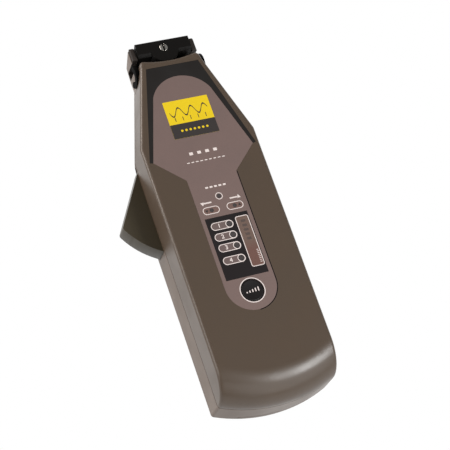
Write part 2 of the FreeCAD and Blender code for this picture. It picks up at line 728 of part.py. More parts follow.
def lenses(places):
    """Round light lenses that stand on their lamps."""
    made = []
    for x, y in places:
        stem = post(x, y, LAMP_TOP, FACE_Z, LENS_R)
        made.append(stem.makeFillet(LENS_EDGE_R, rim_edges(stem, FACE_Z)))
    return Part.makeCompound(made)


def label_plate():
    """Thin two-colour plate on the panel's head."""
    w, h = LABEL_W / 2, LABEL_H / 2
    return box(-w, w, LABEL_Y - h, LABEL_Y + h, FACE_Z, FACE_Z + LABEL_T)


def main_board():
    """Circuit board screwed to the front shell."""
    board = box(-BOARD_HALF, BOARD_HALF, BOARD_Y0, BOARD_Y1, BOARD_Z, BOARD_FRONT)
    return board.cut([post(x, y, 0, BODY_DEPTH, BOARD_SCREW_R + GAP) for x, y in board_screw_places()])


def lamps():
    """Round lamps on the board, one below each lens."""
    made = []
    for x, y in lens_places():
        foot = post(x, y, BOARD_FRONT, BOARD_FRONT + LAMP_FOOT_H, LAMP_FOOT_R)
        made.append(union([post(x, y, BOARD_FRONT, LAMP_TOP, LAMP_R), foot]))
    return Part.makeCompound(made)


def bar_module():
    """Segment bar module on the board below its lens."""
    return bar_box(-BAR_LIP - SLIP, BOARD_FRONT, BAR_FOOT_Z)


def tact_switch():
    """Push switch on the board under the adjust button."""
    w, top = SWITCH_W / 2, BOARD_FRONT + SWITCH_H
    body = box(-w, w, BUTTON_Y - w, BUTTON_Y + w, BOARD_FRONT, top)
    return union([body, post(0, BUTTON_Y, top, top + PLUNGER_H, PLUNGER_R)])


def adjust_button():
    """Round push button with a retaining flange and a stem over the switch."""
    flange_z1 = CEILING_Z - GAP
    flange_z0 = flange_z1 - BUTTON_FLANGE_T
    stem_z = BOARD_FRONT + SWITCH_H + PLUNGER_H + BUTTON_STROKE + GAP / 3
    disc = post(0, BUTTON_Y, flange_z0, FACE_Z + SLIP, BUTTON_R)
    disc = disc.makeFillet(BUTTON_EDGE_R, rim_edges(disc, FACE_Z + SLIP))
    flange = post(0, BUTTON_Y, flange_z0, flange_z1, BUTTON_R + BUTTON_FLANGE)
    return union([disc, flange, post(0, BUTTON_Y, stem_z, flange_z0, BUTTON_STEM_R)])


def buzzer():
    """Round sounder hung under the board, with its sound hole."""
    can = post(BUZZER_X, BUZZER_Y, BOARD_Z - BUZZER_H, BOARD_Z, BUZZER_R)
    return can.cut(post(BUZZER_X, BUZZER_Y, BOARD_Z - BUZZER_H, BOARD_Z - BUZZER_H + SLOT_D, BUZZER_R / 5))


def chip(x, y, w, h, t):
    """Flat chip under the board."""
    return box(x - w / 2, x + w / 2, y - h / 2, y + h / 2, BOARD_Z - t, BOARD_Z)


def screw_up(x, y, z, tip, r, head_r, head_h):
    """Slotted screw driven towards +Z, with its head starting at z."""
    body = union([post(x, y, z, z + head_h, head_r), post(x, y, z + head_h, tip, r)])
    return body.cut(box(x - head_r, x + head_r, y - SLOT_W / 2, y + SLOT_W / 2, z, z + SLOT_D))


def board_screws():
    """Four screws through the board into the front shell."""
    z, tip = BOARD_Z - BOARD_SCREW_HEAD_H, BOARD_FRONT + BOARD_SCREW_GRIP
    sizes = (BOARD_SCREW_R, BOARD_SCREW_HEAD_R, BOARD_SCREW_HEAD_H)
    return Part.makeCompound([screw_up(x, y, z, tip, *sizes) for x, y in board_screw_places()])


def case_screws():
    """Four long screws from the back that close the case."""
    tip = PARTING_Z + CASE_SCREW_GRIP
    sizes = (CASE_SCREW_R, CASE_SCREW_HEAD_R, CASE_SCREW_HEAD_H)
    return Part.makeCompound([screw_up(x, y, CASE_SCREW_SUNK, tip, *sizes) for x, y in case_screw_places()])


def battery():
    """Nine volt block battery with its two terminals."""
    w = BATTERY_W / 2
    body = box(-w, w, BATTERY_Y0, BATTERY_Y1, BATTERY_Z, BATTERY_Z + BATTERY_T)
    body = body.makeFillet(BATTERY_R, [e for e in body.Edges if e.BoundBox.YLength > BATTERY_L / 2])
    end = BATTERY_Y1 + TERMINAL_H
    small = rod_y(-TERMINAL_X, BATTERY_MID_Z, BATTERY_Y1, end, TERMINAL_SMALL_R)
    large = rod_y(TERMINAL_X, BATTERY_MID_Z, BATTERY_Y1, end, TERMINAL_LARGE_R)
    return union([body, small, large])


def battery_contacts():
    """Snap plate that the battery terminals plug against."""
    y = BATTERY_Y1 + TERMINAL_H
    z0, z1 = BATTERY_MID_Z - CONTACT_H / 2, BATTERY_MID_Z + CONTACT_H / 2
    solids = [box(-CONTACT_HALF, CONTACT_HALF, y, DOOR_Y1 + BULKHEAD_IN, z0, z1)]
    for x, r in ((-TERMINAL_X, TERMINAL_SMALL_R), (TERMINAL_X, TERMINAL_LARGE_R)):
        inner = r + GAP
        cup = rod_y(x, BATTERY_MID_Z, y - SOCKET_L, y, inner + SOCKET_T)
        solids.append(cup.cut(rod_y(x, BATTERY_MID_Z, y - SOCKET_L, y, inner)))
    return union(solids)


def battery_door():
    """Door cut from the case's own outside form, with a tongue behind the case wall and a finger grip."""
    outer = rear_outer()
    plate = outer.common(box(-DOOR_HALF, DOOR_HALF, -FAR, DOOR_Y1, -WALL, DOOR_T))
    y1 = DOOR_Y1 - TONGUE_BACK
    neck = box(-DOOR_HALF, DOOR_HALF, -FAR, y1, DOOR_T, TONGUE_Z1)
    tongue = box(-DOOR_HALF - TONGUE_W, DOOR_HALF + TONGUE_W, -FAR, y1, TONGUE_Z0, TONGUE_Z1)
    door = union([plate, neck.common(outer), tongue.common(outer)])
    y = Y_BOTTOM + 4.0 * EDGE_R
    grips = []
    for i in range(GRIP_COUNT):
        low = y + GRIP_PITCH * i
        grips.append(box(-GRIP_W / 2, GRIP_W / 2, low, low + GRIP_T, 0, GRIP_D))
    return door.cut(grips)


def head_block():
    """Fixed upper jaw with a rounded nose that bends the fibre."""
    flank, top = BLOCK_FLANK_Y, BLOCK_FRONT_Z
    body = box(-BLOCK_HALF, BLOCK_HALF, flank, BLOCK_TOP_Y, FLOOR_Z, top)
    nose = post(0, NOSE_Y, FLOOR_Z, top, NOSE_R)
    nose = nose.common(box(-FAR, FAR, -FAR, BLOCK_TOP_Y - BLOCK_EDGE_R, 0, FAR))
    block = union([body, nose])
    ramp = [(flank - BLOCK_LEAD, top - BLOCK_LEAD), (flank, top - BLOCK_LEAD), (flank + BLOCK_LEAD, top)]
    ramp += [(flank + BLOCK_LEAD, FAR), (flank - BLOCK_LEAD, FAR)]
    lead = prism_x(ramp, -FAR, FAR).cut(post(0, NOSE_Y, 0, FAR, NOSE_R))
    cuts = [lead, post(0, HEAD_SCREW_Y, top - HEAD_SCREW_HEAD_H, top, HEAD_SCREW_HEAD_R + 4 * SLIP)]
    cuts.append(post(0, HEAD_SCREW_Y, 0, top, HEAD_SCREW_R + 4 * SLIP))
    cuts += [rod_y(x, SENSOR_Z, flank, flank + SENSOR_L + SLIP, SENSOR_R + SLIP) for x in (-SENSOR_X, SENSOR_X)]
    block = block.cut(cuts)
    rim = [e for e in rim_edges(block, top) if e.BoundBox.XLength > BLOCK_HALF and e.BoundBox.YMin > HEAD_SCREW_Y]
    return block.makeFillet(BLOCK_EDGE_R, rim)


def head_screw():
    """Slotted nickel screw that holds the head block."""
    seat = BLOCK_FRONT_Z - HEAD_SCREW_HEAD_H
    top = BLOCK_FRONT_Z + 2 * SLIP
    head = post(0, HEAD_SCREW_Y, seat, top, HEAD_SCREW_HEAD_R)
    head = head.makeFillet(GAP, rim_edges(head, top))
    reach = HEAD_SCREW_HEAD_R + SLIP
    slot = box(-SLOT_W / 2, SLOT_W / 2, HEAD_SCREW_Y - reach, HEAD_SCREW_Y + reach, top - SLOT_D, top)
    return union([head.cut(slot), post(0, HEAD_SCREW_Y, HEAD_BACK_Z + WALL / 3, seat, HEAD_SCREW_R)])


def photodiodes():
    """Two light sensors let into the flanks of the head block."""
    y = BLOCK_FLANK_Y + SLIP
    return Part.makeCompound([rod_y(x, SENSOR_Z, y, y + SENSOR_L, SENSOR_R) for x in (-SENSOR_X, SENSOR_X)])


def pivot_pin():
    """Fixed steel pin that the trigger swings on and the spring sits round."""
    return post(PIVOT_X, PIVOT_Y, PIVOT_SUNK, LEVER_Z1 + GAP + CLIP_T + SPRING_PITCH * (SPRING_TURNS + 1), PIVOT_R)


def pivot_clip():
    """Washer that keeps the trigger on its pin."""
    z = LEVER_Z1 + GAP
    return post(PIVOT_X, PIVOT_Y, z, z + CLIP_T, CLIP_R).cut(post(PIVOT_X, PIVOT_Y, z, z + CLIP_T, PIVOT_R))


def return_spring():
    """Coil of the torsion spring on the pivot pin, bent from short straight lengths of wire."""
    z = LEVER_Z1 + GAP + CLIP_T + SPRING_WIRE_R + SLIP
    line = []
    for i in range(SPRING_TURNS * SPRING_STEPS + 1):
        place = at_pivot(360.0 * i / SPRING_STEPS, SPRING_R)
        line.append(V(place.x, place.y, z + SPRING_PITCH * i / SPRING_STEPS))
    wire = Part.Wire(Part.makeCircle(SPRING_WIRE_R, line[0], line[1] - line[0]))
    return Part.makePolygon(line).makePipeShell([wire], True, False, 1)


def trigger_lever():
    """Side trigger: a wedge with a round end about the pivot, a pivot boss and a drive arm."""
    out = 180.0 - LEVER_ANGLE
    tip = out + math.degrees(math.acos(LEVER_FACE / LEVER_R))
    hub, foot = V(PIVOT_X, PIVOT_Y, 0), at_pivot(out, LEVER_FACE)
    a, b = at_pivot(tip, LEVER_R), at_pivot(tip + LEVER_SPAN, LEVER_R)
    m = at_pivot(tip + LEVER_SPAN / 2, LEVER_R)
    edges = [Part.makeLine(hub, foot), Part.makeLine(foot, a), Part.Arc(a, m, b).toShape(), Part.makeLine(b, hub)]
    face = Part.Face(Part.Wire(edges))
    face.translate(V(0, 0, LEVER_Z0))
    wedge = face.extrude(V(0, 0, LEVER_T))
    corner = upright_edges(wedge, LEVER_T / 2, lambda x, y: math.hypot(x - a.x, y - a.y) < SLIP)
    wedge = wedge.makeFillet(LEVER_CORNER_R, corner)
    boss = post(PIVOT_X, PIVOT_Y, LEVER_Z0, LEVER_Z1, PIVOT_BOSS_R)
    lever = union([wedge, boss] + drive_arm())
    pin = drive_place()
    bore = post(PIVOT_X, PIVOT_Y, 0, BODY_DEPTH, PIVOT_R + SLIP)
    return lever.cut([bore, post(pin.x, pin.y, LEVER_Z1 - DRIVE_DEEP, LEVER_Z1, DRIVE_R)])


def drive_place():
    """Centre of the drive pin at rest, below the middle of its swing."""
    return at_pivot(-DRIVE_SWING / 2, DRIVE_ARM)


def drive_arm():
    """Bar and round end of the trigger's arm that carries the drive pin."""
    pin = drive_place()
    side = at_pivot(90.0 - DRIVE_SWING / 2, DRIVE_ARM_R)
    dx, dy = side.x - PIVOT_X, side.y - PIVOT_Y
    pts = [(PIVOT_X + dx, PIVOT_Y + dy), (PIVOT_X - dx, PIVOT_Y - dy)]
    pts += [(pin.x - dx, pin.y - dy), (pin.x + dx, pin.y + dy)]
    return [prism(pts, LEVER_Z0, LEVER_Z1), post(pin.x, pin.y, LEVER_Z0, LEVER_Z1, DRIVE_ARM_R)]


def drive_pin():
    """Pin on the trigger's arm that pushes the slide."""
    pin = drive_place()
    return post(pin.x, pin.y, LEVER_Z1 - DRIVE_DEEP, SLIDER_Z1 - GAP, DRIVE_R)


def jaw_slider():
    """Sliding bar that carries the clamp jaw, with a cross slot for the drive pin."""
    pin = drive_place()
    low = pin.y - SLIDER_FOOT_L
    wide = SLIDER_HALF + SLIDER_FOOT
    bar = box(-SLIDER_HALF, SLIDER_HALF, low, JAW_BACK_Y, SLIDER_Z0, SLIDER_Z1)
    foot = box(-wide, wide, low, pin.y + SLIDER_FOOT_L, SLIDER_Z0, SLIDER_Z1)
    z0, z1 = FLOOR_Z + WALL, JAW_TOP_Z - 2 * WALL
    flange = box(-FLANGE_HALF, FLANGE_HALF, JAW_BACK_Y - FLANGE_T, JAW_BACK_Y, z0, z1)
    reach = DRIVE_R + GAP
    slot = box(pin.x - reach - GAP, pin.x + reach + 2 * GAP, pin.y - reach, pin.y + reach, 0, FAR)
    holes = [rod_y(x, JAW_SCREW_Z, low, JAW_BACK_Y, JAW_SCREW_R + 2 * SLIP) for x in (-JAW_SCREW_X, JAW_SCREW_X)]
    holes = [h.common(flange) for h in holes]
    return union([bar, foot, flange]).cut([slot] + holes)


def clamp_jaw():
    """Moving lower jaw, hollowed to take the nose of the head block."""
    flank = JAW_FLANK_Y - PAD_T
    jaw = box(-JAW_HALF, JAW_HALF, JAW_BACK_Y, flank, FLOOR_Z + GAP, JAW_TOP_Z)
    hollow = post(0, NOSE_Y - DRIVE_TRAVEL, 0, FAR, NOSE_R + NOSE_GAP)
    tip = JAW_BACK_Y + JAW_SCREW_L - FLANGE_T + GAP
    holes = [rod_y(x, JAW_SCREW_Z, JAW_BACK_Y, tip, JAW_SCREW_R + SLIP) for x in (-JAW_SCREW_X, JAW_SCREW_X)]
    return jaw.cut([hollow] + holes)


def jaw_pads():
    """Soft pads on the flanks of the moving jaw."""
    inner = NOSE_R + NOSE_GAP + GAP
    pad = box(inner, JAW_HALF, JAW_FLANK_Y - PAD_T, JAW_FLANK_Y, FLOOR_Z + 2 * GAP, JAW_TOP_Z - GAP)
    return Part.makeCompound(both_sides(pad))


def jaw_screws():
    """Two screws that hold the jaw to its slide."""
    made = []
    y = JAW_BACK_Y - FLANGE_T
    for x in (-JAW_SCREW_X, JAW_SCREW_X):
        head = rod_y(x, JAW_SCREW_Z, y - JAW_SCREW_HEAD_H, y, JAW_SCREW_HEAD_R)
        z0, z1 = JAW_SCREW_Z - SLOT_W / 2, JAW_SCREW_Z + SLOT_W / 2
        slot = box(x - FLANGE_HALF, x + FLANGE_HALF, y - FLANGE_HALF, y - JAW_SCREW_HEAD_H + SLOT_D, z0, z1)
        made.append(union([head.cut(slot), rod_y(x, JAW_SCREW_Z, y, y + JAW_SCREW_L, JAW_SCREW_R)]))
    return Part.makeCompound(made)


def slider_keeper():
    """Plate over the slide ridges that keeps the slide down."""
    x = SLIDER_HALF + GAP + RIDGE_T
    plate = box(-x, x, RIDGE_Y0, RIDGE_Y1, RIDGE_TOP, RIDGE_TOP + KEEPER_T)
    return plate.cut([post(sx, y, 0, BODY_DEPTH, KEEPER_SCREW_R + 2 * SLIP) for sx, y in keeper_screw_places()])


def keeper_screws():
    """Four small screws of the slide keeper."""
    top = RIDGE_TOP + KEEPER_T
    made = []
    for x, y in keeper_screw_places():
        head = post(x, y, top, top + KEEPER_HEAD_H, KEEPER_HEAD_R)
        made.append(union([head, post(x, y, SLIDER_Z0 + GAP, top, KEEPER_SCREW_R)]))
    return Part.makeCompound(made)


def pieces():
    """All named pieces of the assembly."""
    return {
        "front_shell": front_shell(),
        "rear_shell": rear_shell(),
        "overlay_panel": overlay_panel(),
        "border_band": border_band(),
        "display_window": display_window(),
        "bar_lens": bar_lens(),
        "signal_lenses": lenses(signal_places()),
        "direction_lenses": lenses(direction_places()),
        "no_signal_lens": lenses([(0.0, NO_SIGNAL_Y)]),
        "label_plate": label_plate(),
        "main_board": main_board(),
        "lamps": lamps(),
        "bar_module": bar_module(),
        "tact_switch": tact_switch(),
        "adjust_button": adjust_button(),
        "buzzer": buzzer(),
        "logic_chip": chip(LOGIC_X, LOGIC_Y, LOGIC_W, LOGIC_W, LOGIC_T),
        "amplifier_chip": chip(AMPLIFIER_X, AMPLIFIER_Y, AMPLIFIER_W, AMPLIFIER_H, AMPLIFIER_T),
        "board_screws": board_screws(),
        "case_screws": case_screws(),
        "battery": battery(),
        "battery_contacts": battery_contacts(),
        "battery_door": battery_door(),
        "head_block": head_block(),
        "head_screw": head_screw(),
        "photodiodes": photodiodes(),
        "fibre_guide_left": guide_ring(-1, 0.0),
        "fibre_guide_right": guide_ring(1, 0.0),
        "pivot_pin": pivot_pin(),
        "pivot_clip": pivot_clip(),
        "return_spring": return_spring(),
        "trigger_lever": trigger_lever(),
        "drive_pin": drive_pin(),
        "jaw_slider": jaw_slider(),
        "clamp_jaw": clamp_jaw(),
        "jaw_pads": jaw_pads(),
        "jaw_screws": jaw_screws(),
        "slider_keeper": slider_keeper(),
        "keeper_screws": keeper_screws(),
    }


for name, shape in pieces().items():
    shape.exportStep(os.path.join("parts", name + ".step"))
    state = "valid" if shape.isValid() else "NOT VALID"
    print(name, state, len(shape.Solids), "solids", round(shape.Volume, 1), "mm3")
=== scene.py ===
import logging
import math
from dataclasses import dataclass
from enum import Enum
from functools import partial
from typing import Iterable, Sequence

import bmesh
import bpy
from bmesh.types import BMEdge, BMFace, BMVert
from mathutils import Matrix, Vector


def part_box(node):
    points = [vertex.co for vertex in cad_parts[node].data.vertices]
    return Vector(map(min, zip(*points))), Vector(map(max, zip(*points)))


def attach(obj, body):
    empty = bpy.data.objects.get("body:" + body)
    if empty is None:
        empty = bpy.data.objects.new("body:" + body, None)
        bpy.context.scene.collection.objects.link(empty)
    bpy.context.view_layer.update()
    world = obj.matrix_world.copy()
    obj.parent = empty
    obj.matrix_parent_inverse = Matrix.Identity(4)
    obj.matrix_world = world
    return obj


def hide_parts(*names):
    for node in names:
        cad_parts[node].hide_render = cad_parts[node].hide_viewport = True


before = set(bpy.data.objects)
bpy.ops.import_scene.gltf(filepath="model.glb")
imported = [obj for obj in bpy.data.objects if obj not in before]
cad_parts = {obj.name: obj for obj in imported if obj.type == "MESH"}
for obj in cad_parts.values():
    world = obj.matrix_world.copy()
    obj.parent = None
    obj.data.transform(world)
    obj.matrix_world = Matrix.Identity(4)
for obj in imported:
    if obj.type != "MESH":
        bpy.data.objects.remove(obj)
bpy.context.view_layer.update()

LOG = logging.getLogger("fibre_identifier")
Triple = tuple[float, float, float]
Pair = tuple[float, float]
Socket = bpy.types.NodeSocket

# Pieces are built in millimetres, and MM turns them into metres
MM = 0.001
# Edges that turn by more than this stay crisp
SHARP = math.radians(35.0)
# Vertices closer than this are one: in a CAD mesh, in a finished piece and on a cut
SEAM = 0.002
DOUBLE = 0.0004
CUT_REACH = 0.0005
# A face whose normal has less than this along Z is a wall
STEEP = 0.5
# Prints: thickness, its other steps where prints overlap, gap to the film below, width of outlines
# and extra weight of digits
INK = 0.020
INK_THIN, INK_HALF, INK_LOW, INK_MID, INK_TALL = 0.008, 0.010, 0.012, 0.016, 0.024
INK_LIFT = 0.005
OUTLINE = 0.36
DIGIT_WEIGHT = 0.05
# Strength of the bump in every finish that has one
RELIEF = 0.6
# Rows of signal lenses lie further apart than this
LENS_GAP = 1.0
# Left and right, and the turn of an arrow head that points to that side
SIDES = (-1.0, 1.0)
OUTWARDS = {-1.0: math.pi, 1.0: 0.0}


class Body(Enum):
    """Bodies of the frame that new pieces ride on."""

    CASE = "case"
    BUTTON = "button"


class Pattern(Enum):
    """Shared surface effects."""

    GRAIN = "surface_grain"
    FILM = "printed_film"
    BRUSHED = "brushed_metal"
    TINT = "tint_along_length"


@dataclass(frozen=True)
class Finish:
    """One surface finish: two colours, a roughness range and the effect that varies them.

    Scale is the number of grains per metre and bump the depth of the relief in millimetres.
    """

    name: str
    colour: Triple
    shade: Triple
    rough: Pair
    scale: float = 2600.0
    bump: float = 0.0
    pattern: Pattern = Pattern.GRAIN
    metallic: float = 0.0
    coat: float = 0.0
    specular: float = 0.5


# Printed films and inks share one effect, and bare metals another
film = partial(Finish, scale=2400.0, pattern=Pattern.FILM)
metal = partial(Finish, pattern=Pattern.BRUSHED, metallic=1.0)

CASE_PLASTIC = Finish(
    "case_plastic", (0.078, 0.0555, 0.0392), (0.067, 0.048, 0.034), (0.28, 0.36),
    scale=3200.0, bump=0.008, specular=0.42)
REAR_PLASTIC = Finish(
    "rear_plastic", (0.104, 0.071, 0.049), (0.090, 0.0615, 0.0425), (0.28, 0.36),
    scale=3200.0, bump=0.008, specular=0.32)
TRIGGER_PLASTIC = Finish(
    "trigger_plastic", (0.044, 0.034, 0.019), (0.037, 0.029, 0.016), (0.34, 0.46), scale=3000.0, bump=0.008)
BUTTON_PLASTIC = Finish(
    "button_plastic", (0.0060, 0.0043, 0.0046), (0.0045, 0.0032, 0.0035), (0.40, 0.50),
    scale=3000.0, bump=0.006, specular=0.3)
HEAD_PLASTIC = Finish(
    "head_plastic", (0.008, 0.0072, 0.0066), (0.006, 0.0055, 0.005), (0.30, 0.40), bump=0.004, specular=0.1)
GUIDE_PLASTIC = Finish(
    "guide_plastic", (0.0045, 0.0042, 0.0040), (0.0034, 0.0032, 0.0030), (0.50, 0.60),
    bump=0.004, specular=0.02)
# Dark lips on the cheeks' front edges, and painted shade in the fibre notches
DARK_LIP_AND_PAINTED_SHADE = Finish(
    "dark_lip_and_painted_shade", (0.030, 0.023, 0.019), (0.022, 0.017, 0.014), (0.55, 0.66),
    scale=2200.0, bump=0.012, specular=0.25)
PAD_RUBBER = Finish(
    "pad_rubber", (0.030, 0.030, 0.030), (0.022, 0.022, 0.022), (0.70, 0.82), scale=1800.0, bump=0.020)
LENS_PLASTIC = Finish(
    "lens_plastic", (0.060, 0.050, 0.050), (0.040, 0.034, 0.034), (0.10, 0.18), scale=700.0, coat=0.6)
BAR_PLASTIC = Finish(
    "bar_plastic", (0.133, 0.090, 0.072), (0.131, 0.066, 0.053), (0.30, 0.40),
    scale=900.0, bump=0.002, pattern=Pattern.TINT)
BOARD_LAMINATE = Finish(
    "board_laminate", (0.020, 0.170, 0.065), (0.015, 0.130, 0.050), (0.34, 0.44), scale=1200.0, bump=0.004)
CHIP_PLASTIC = Finish(
    "chip_plastic", (0.024, 0.024, 0.025), (0.017, 0.017, 0.018), (0.50, 0.62), scale=2200.0, bump=0.006)
LAMP_PLASTIC = Finish(
    "lamp_plastic", (0.330, 0.055, 0.035), (0.260, 0.040, 0.028), (0.14, 0.22), scale=900.0)
BATTERY_JACKET = Finish(
    "battery_jacket", (0.070, 0.080, 0.105), (0.055, 0.062, 0.082), (0.28, 0.38), scale=1100.0, bump=0.003)
CONTACT_PLASTIC = Finish(
    "contact_plastic", (0.034, 0.034, 0.034), (0.026, 0.026, 0.026), (0.50, 0.62), scale=2000.0, bump=0.006)
PANEL_FILM = film("panel_film", (0.157, 0.107, 0.096), (0.141, 0.096, 0.086), (0.44, 0.54), bump=0.004)
BAND_FILM = film(
    "band_film", (0.0082, 0.0062, 0.0052), (0.0062, 0.0047, 0.0040), (0.42, 0.52), bump=0.004)
WINDOW_FILM = film(
    "window_film", (0.0125, 0.0092, 0.0098), (0.0095, 0.0071, 0.0075), (0.26, 0.36),
    scale=1800.0, bump=0.002)
FILL_INK = film("fill_ink", (0.128, 0.090, 0.084), (0.112, 0.079, 0.074), (0.46, 0.56))
RED_INK = film("red_ink", (0.150, 0.090, 0.075), (0.130, 0.076, 0.064), (0.46, 0.56))
WHITE_INK = film("white_ink", (0.70, 0.62, 0.59), (0.64, 0.565, 0.535), (0.50, 0.60), scale=3000.0)
DARK_INK = film("dark_ink", (0.030, 0.024, 0.022), (0.022, 0.018, 0.017), (0.48, 0.58))
YELLOW_INK = film(
    "yellow_ink", (0.71, 0.52, 0.012), (0.67, 0.48, 0.010), (0.50, 0.60), bump=0.002, specular=0.25)
# Painted shadow: dark strip for the shaded gap along the right edge of the panel strip
GAP_PAINTED_SHADOW = film("gap_ink", (0.007, 0.006, 0.006), (0.004, 0.004, 0.004), (0.60, 0.70), specular=0.1)
SEGMENT_INK = film("segment_ink", (0.085, 0.060, 0.052), (0.070, 0.050, 0.043), (0.40, 0.50), scale=2000.0)
STEEL = metal("steel", (0.58, 0.57, 0.55), (0.46, 0.45, 0.44), (0.24, 0.36), scale=1500.0, bump=0.003)
NICKEL = metal("nickel", (0.72, 0.69, 0.63), (0.60, 0.57, 0.52), (0.18, 0.28), scale=1800.0, bump=0.002)
# Painted shade on the floor of the screw's slot
SLOT_PAINTED_SHADE = metal(
    "slot_shade", (0.030, 0.028, 0.026), (0.018, 0.017, 0.016), (0.50, 0.62), scale=1800.0, bump=0.002)


class EffectGroup:
    """Shader node group that turns two colours and a scale into values that vary over the surface."""

    tint_span: Pair = (-0.0165, -0.0215)

    def __init__(self, pattern: Pattern) -> None:
        """Build the group of one effect.

        Args:
            pattern: The effect.
        """
        self.tree = bpy.data.node_groups.new(pattern.value, "ShaderNodeTree")
        self._sockets()
        self.start = self.tree.nodes.new("NodeGroupInput")
        self.end = self.tree.nodes.new("NodeGroupOutput")
        self.place = self.tree.nodes.new("ShaderNodeTexCoord").outputs["Object"]
        makers = {
            Pattern.GRAIN: self._grain, Pattern.FILM: self._film,
            Pattern.BRUSHED: self._brushed, Pattern.TINT: self._tint}
        makers[pattern]()

    def _sockets(self) -> None:
        face = self.tree.interface
        for name in ("Colour", "Shade"):
            face.new_socket(name, in_out="INPUT", socket_type="NodeSocketColor")
        for name in ("Scale", "Rough Low", "Rough High"):
            face.new_socket(name, in_out="INPUT", socket_type="NodeSocketFloat")
        face.new_socket("Colour", in_out="OUTPUT", socket_type="NodeSocketColor")
        for name in ("Roughness", "Height"):
            face.new_socket(name, in_out="OUTPUT", socket_type="NodeSocketFloat")

    def _link(self, source: Socket, target: Socket) -> None:
        """Join two sockets of the group."""
        self.tree.links.new(source, target)

    def _noise(self, share: float, detail: float, stretch: Triple = (1.0, 1.0, 1.0)) -> Socket:
        """Add a noise field.

        Args:
            share: Its scale as a share of the group's own scale.
            detail: Noise detail.
            stretch: Scale along each axis before the noise is read.

        Returns:
            The noise value socket.
        """
        mapping = self.tree.nodes.new("ShaderNodeMapping")
        mapping.inputs["Scale"].default_value = stretch
        times = self.tree.nodes.new("ShaderNodeMath")
        times.operation = "MULTIPLY"
        times.inputs[1].default_value = share
        noise = self.tree.nodes.new("ShaderNodeTexNoise")
        noise.inputs["Detail"].default_value = detail
        self._link(self.place, mapping.inputs["Vector"])
        self._link(self.start.outputs["Scale"], times.inputs[0])
        self._link(mapping.outputs["Vector"], noise.inputs["Vector"])
        self._link(times.outputs[0], noise.inputs["Scale"])
        return noise.outputs["Fac"]

    def _spread(self, value: Socket, low: float, high: float) -> Socket:
        """Stretch a value from the span low to high onto 0 to 1.

        Args:
            value: Socket to read.
            low: Value that becomes 0.
            high: Value that becomes 1.

        Returns:
            The stretched value socket.
        """
        span = self.tree.nodes.new("ShaderNodeMapRange")
        span.inputs["From Min"].default_value = low
        span.inputs["From Max"].default_value = high
        self._link(value, span.inputs["Value"])
        return span.outputs["Result"]

    def _blend(self, first: Socket, second: Socket, share: float) -> Socket:
        """Mix two values.

        Args:
            first: Value at share 0.
            second: Value at share 1.
            share: How much of the second is taken.

        Returns:
            The mixed value socket.
        """
        mix = self.tree.nodes.new("ShaderNodeMix")
        mix.inputs["Factor"].default_value = share
        self._link(first, mix.inputs["A"])
        self._link(second, mix.inputs["B"])
        return mix.outputs["Result"]

    def _outputs(self, tone: Socket, gloss: Socket, height: Socket) -> None:
        """Drive the group's outputs.

        Args:
            tone: Runs from the first colour to the shade.
            gloss: Runs over the roughness range.
            height: Relief.
        """
        mix = self.tree.nodes.new("ShaderNodeMix")
        mix.data_type = "RGBA"
        self._link(tone, mix.inputs["Factor"])
        colours = [s for s in mix.inputs if s.type == "RGBA"]
        self._link(self.start.outputs["Colour"], colours[0])
        self._link(self.start.outputs["Shade"], colours[1])
        self._link(next(s for s in mix.outputs if s.type == "RGBA"), self.end.inputs["Colour"])
        span = self.tree.nodes.new("ShaderNodeMapRange")
        self._link(gloss, span.inputs["Value"])
        self._link(self.start.outputs["Rough Low"], span.inputs["To Min"])
        self._link(self.start.outputs["Rough High"], span.inputs["To Max"])
        self._link(span.outputs["Result"], self.end.inputs["Roughness"])
        self._link(height, self.end.inputs["Height"])

    def _grain(self) -> None:
        """Fine moulded texture over a slow change of tone."""
        fine = self._noise(share=1.0, detail=3.0)
        broad = self._noise(share=0.018, detail=2.0)
        tone = self._spread(self._blend(fine, broad, share=0.45), low=0.34, high=0.66)
        self._outputs(tone, self._spread(broad, low=0.35, high=0.65), fine)

    def _film(self) -> None:
        """Smooth printed film with faint mottling and soft smudges."""
        fine = self._noise(share=1.0, detail=2.0)
        smudge = self._noise(share=0.035, detail=4.0)
        tone = self._spread(self._blend(fine, smudge, share=0.7), low=0.34, high=0.66)
        self._outputs(tone, self._spread(smudge, low=0.32, high=0.68), fine)

    def _brushed(self) -> None:
        """Metal with drawn streaks."""
        streak = self._noise(share=1.0, detail=4.0, stretch=(0.06, 1.0, 1.0))
        patch = self._noise(share=0.05, detail=2.0)
        tone = self._spread(streak, low=0.3, high=0.7)
        gloss = self._spread(self._blend(streak, patch, share=0.4), low=0.3, high=0.7)
        self._outputs(tone, gloss, streak)

    def _tint(self) -> None:
        """Clear plastic whose tone changes along the level bar."""
        split = self.tree.nodes.new("ShaderNodeSeparateXYZ")
        self._link(self.place, split.inputs["Vector"])
        along = self._spread(split.outputs["Y"], *self.tint_span)
        cloud = self._noise(share=1.0, detail=3.0)
        self._outputs(self._blend(along, cloud, share=0.18), self._spread(cloud, low=0.3, high=0.7), cloud)


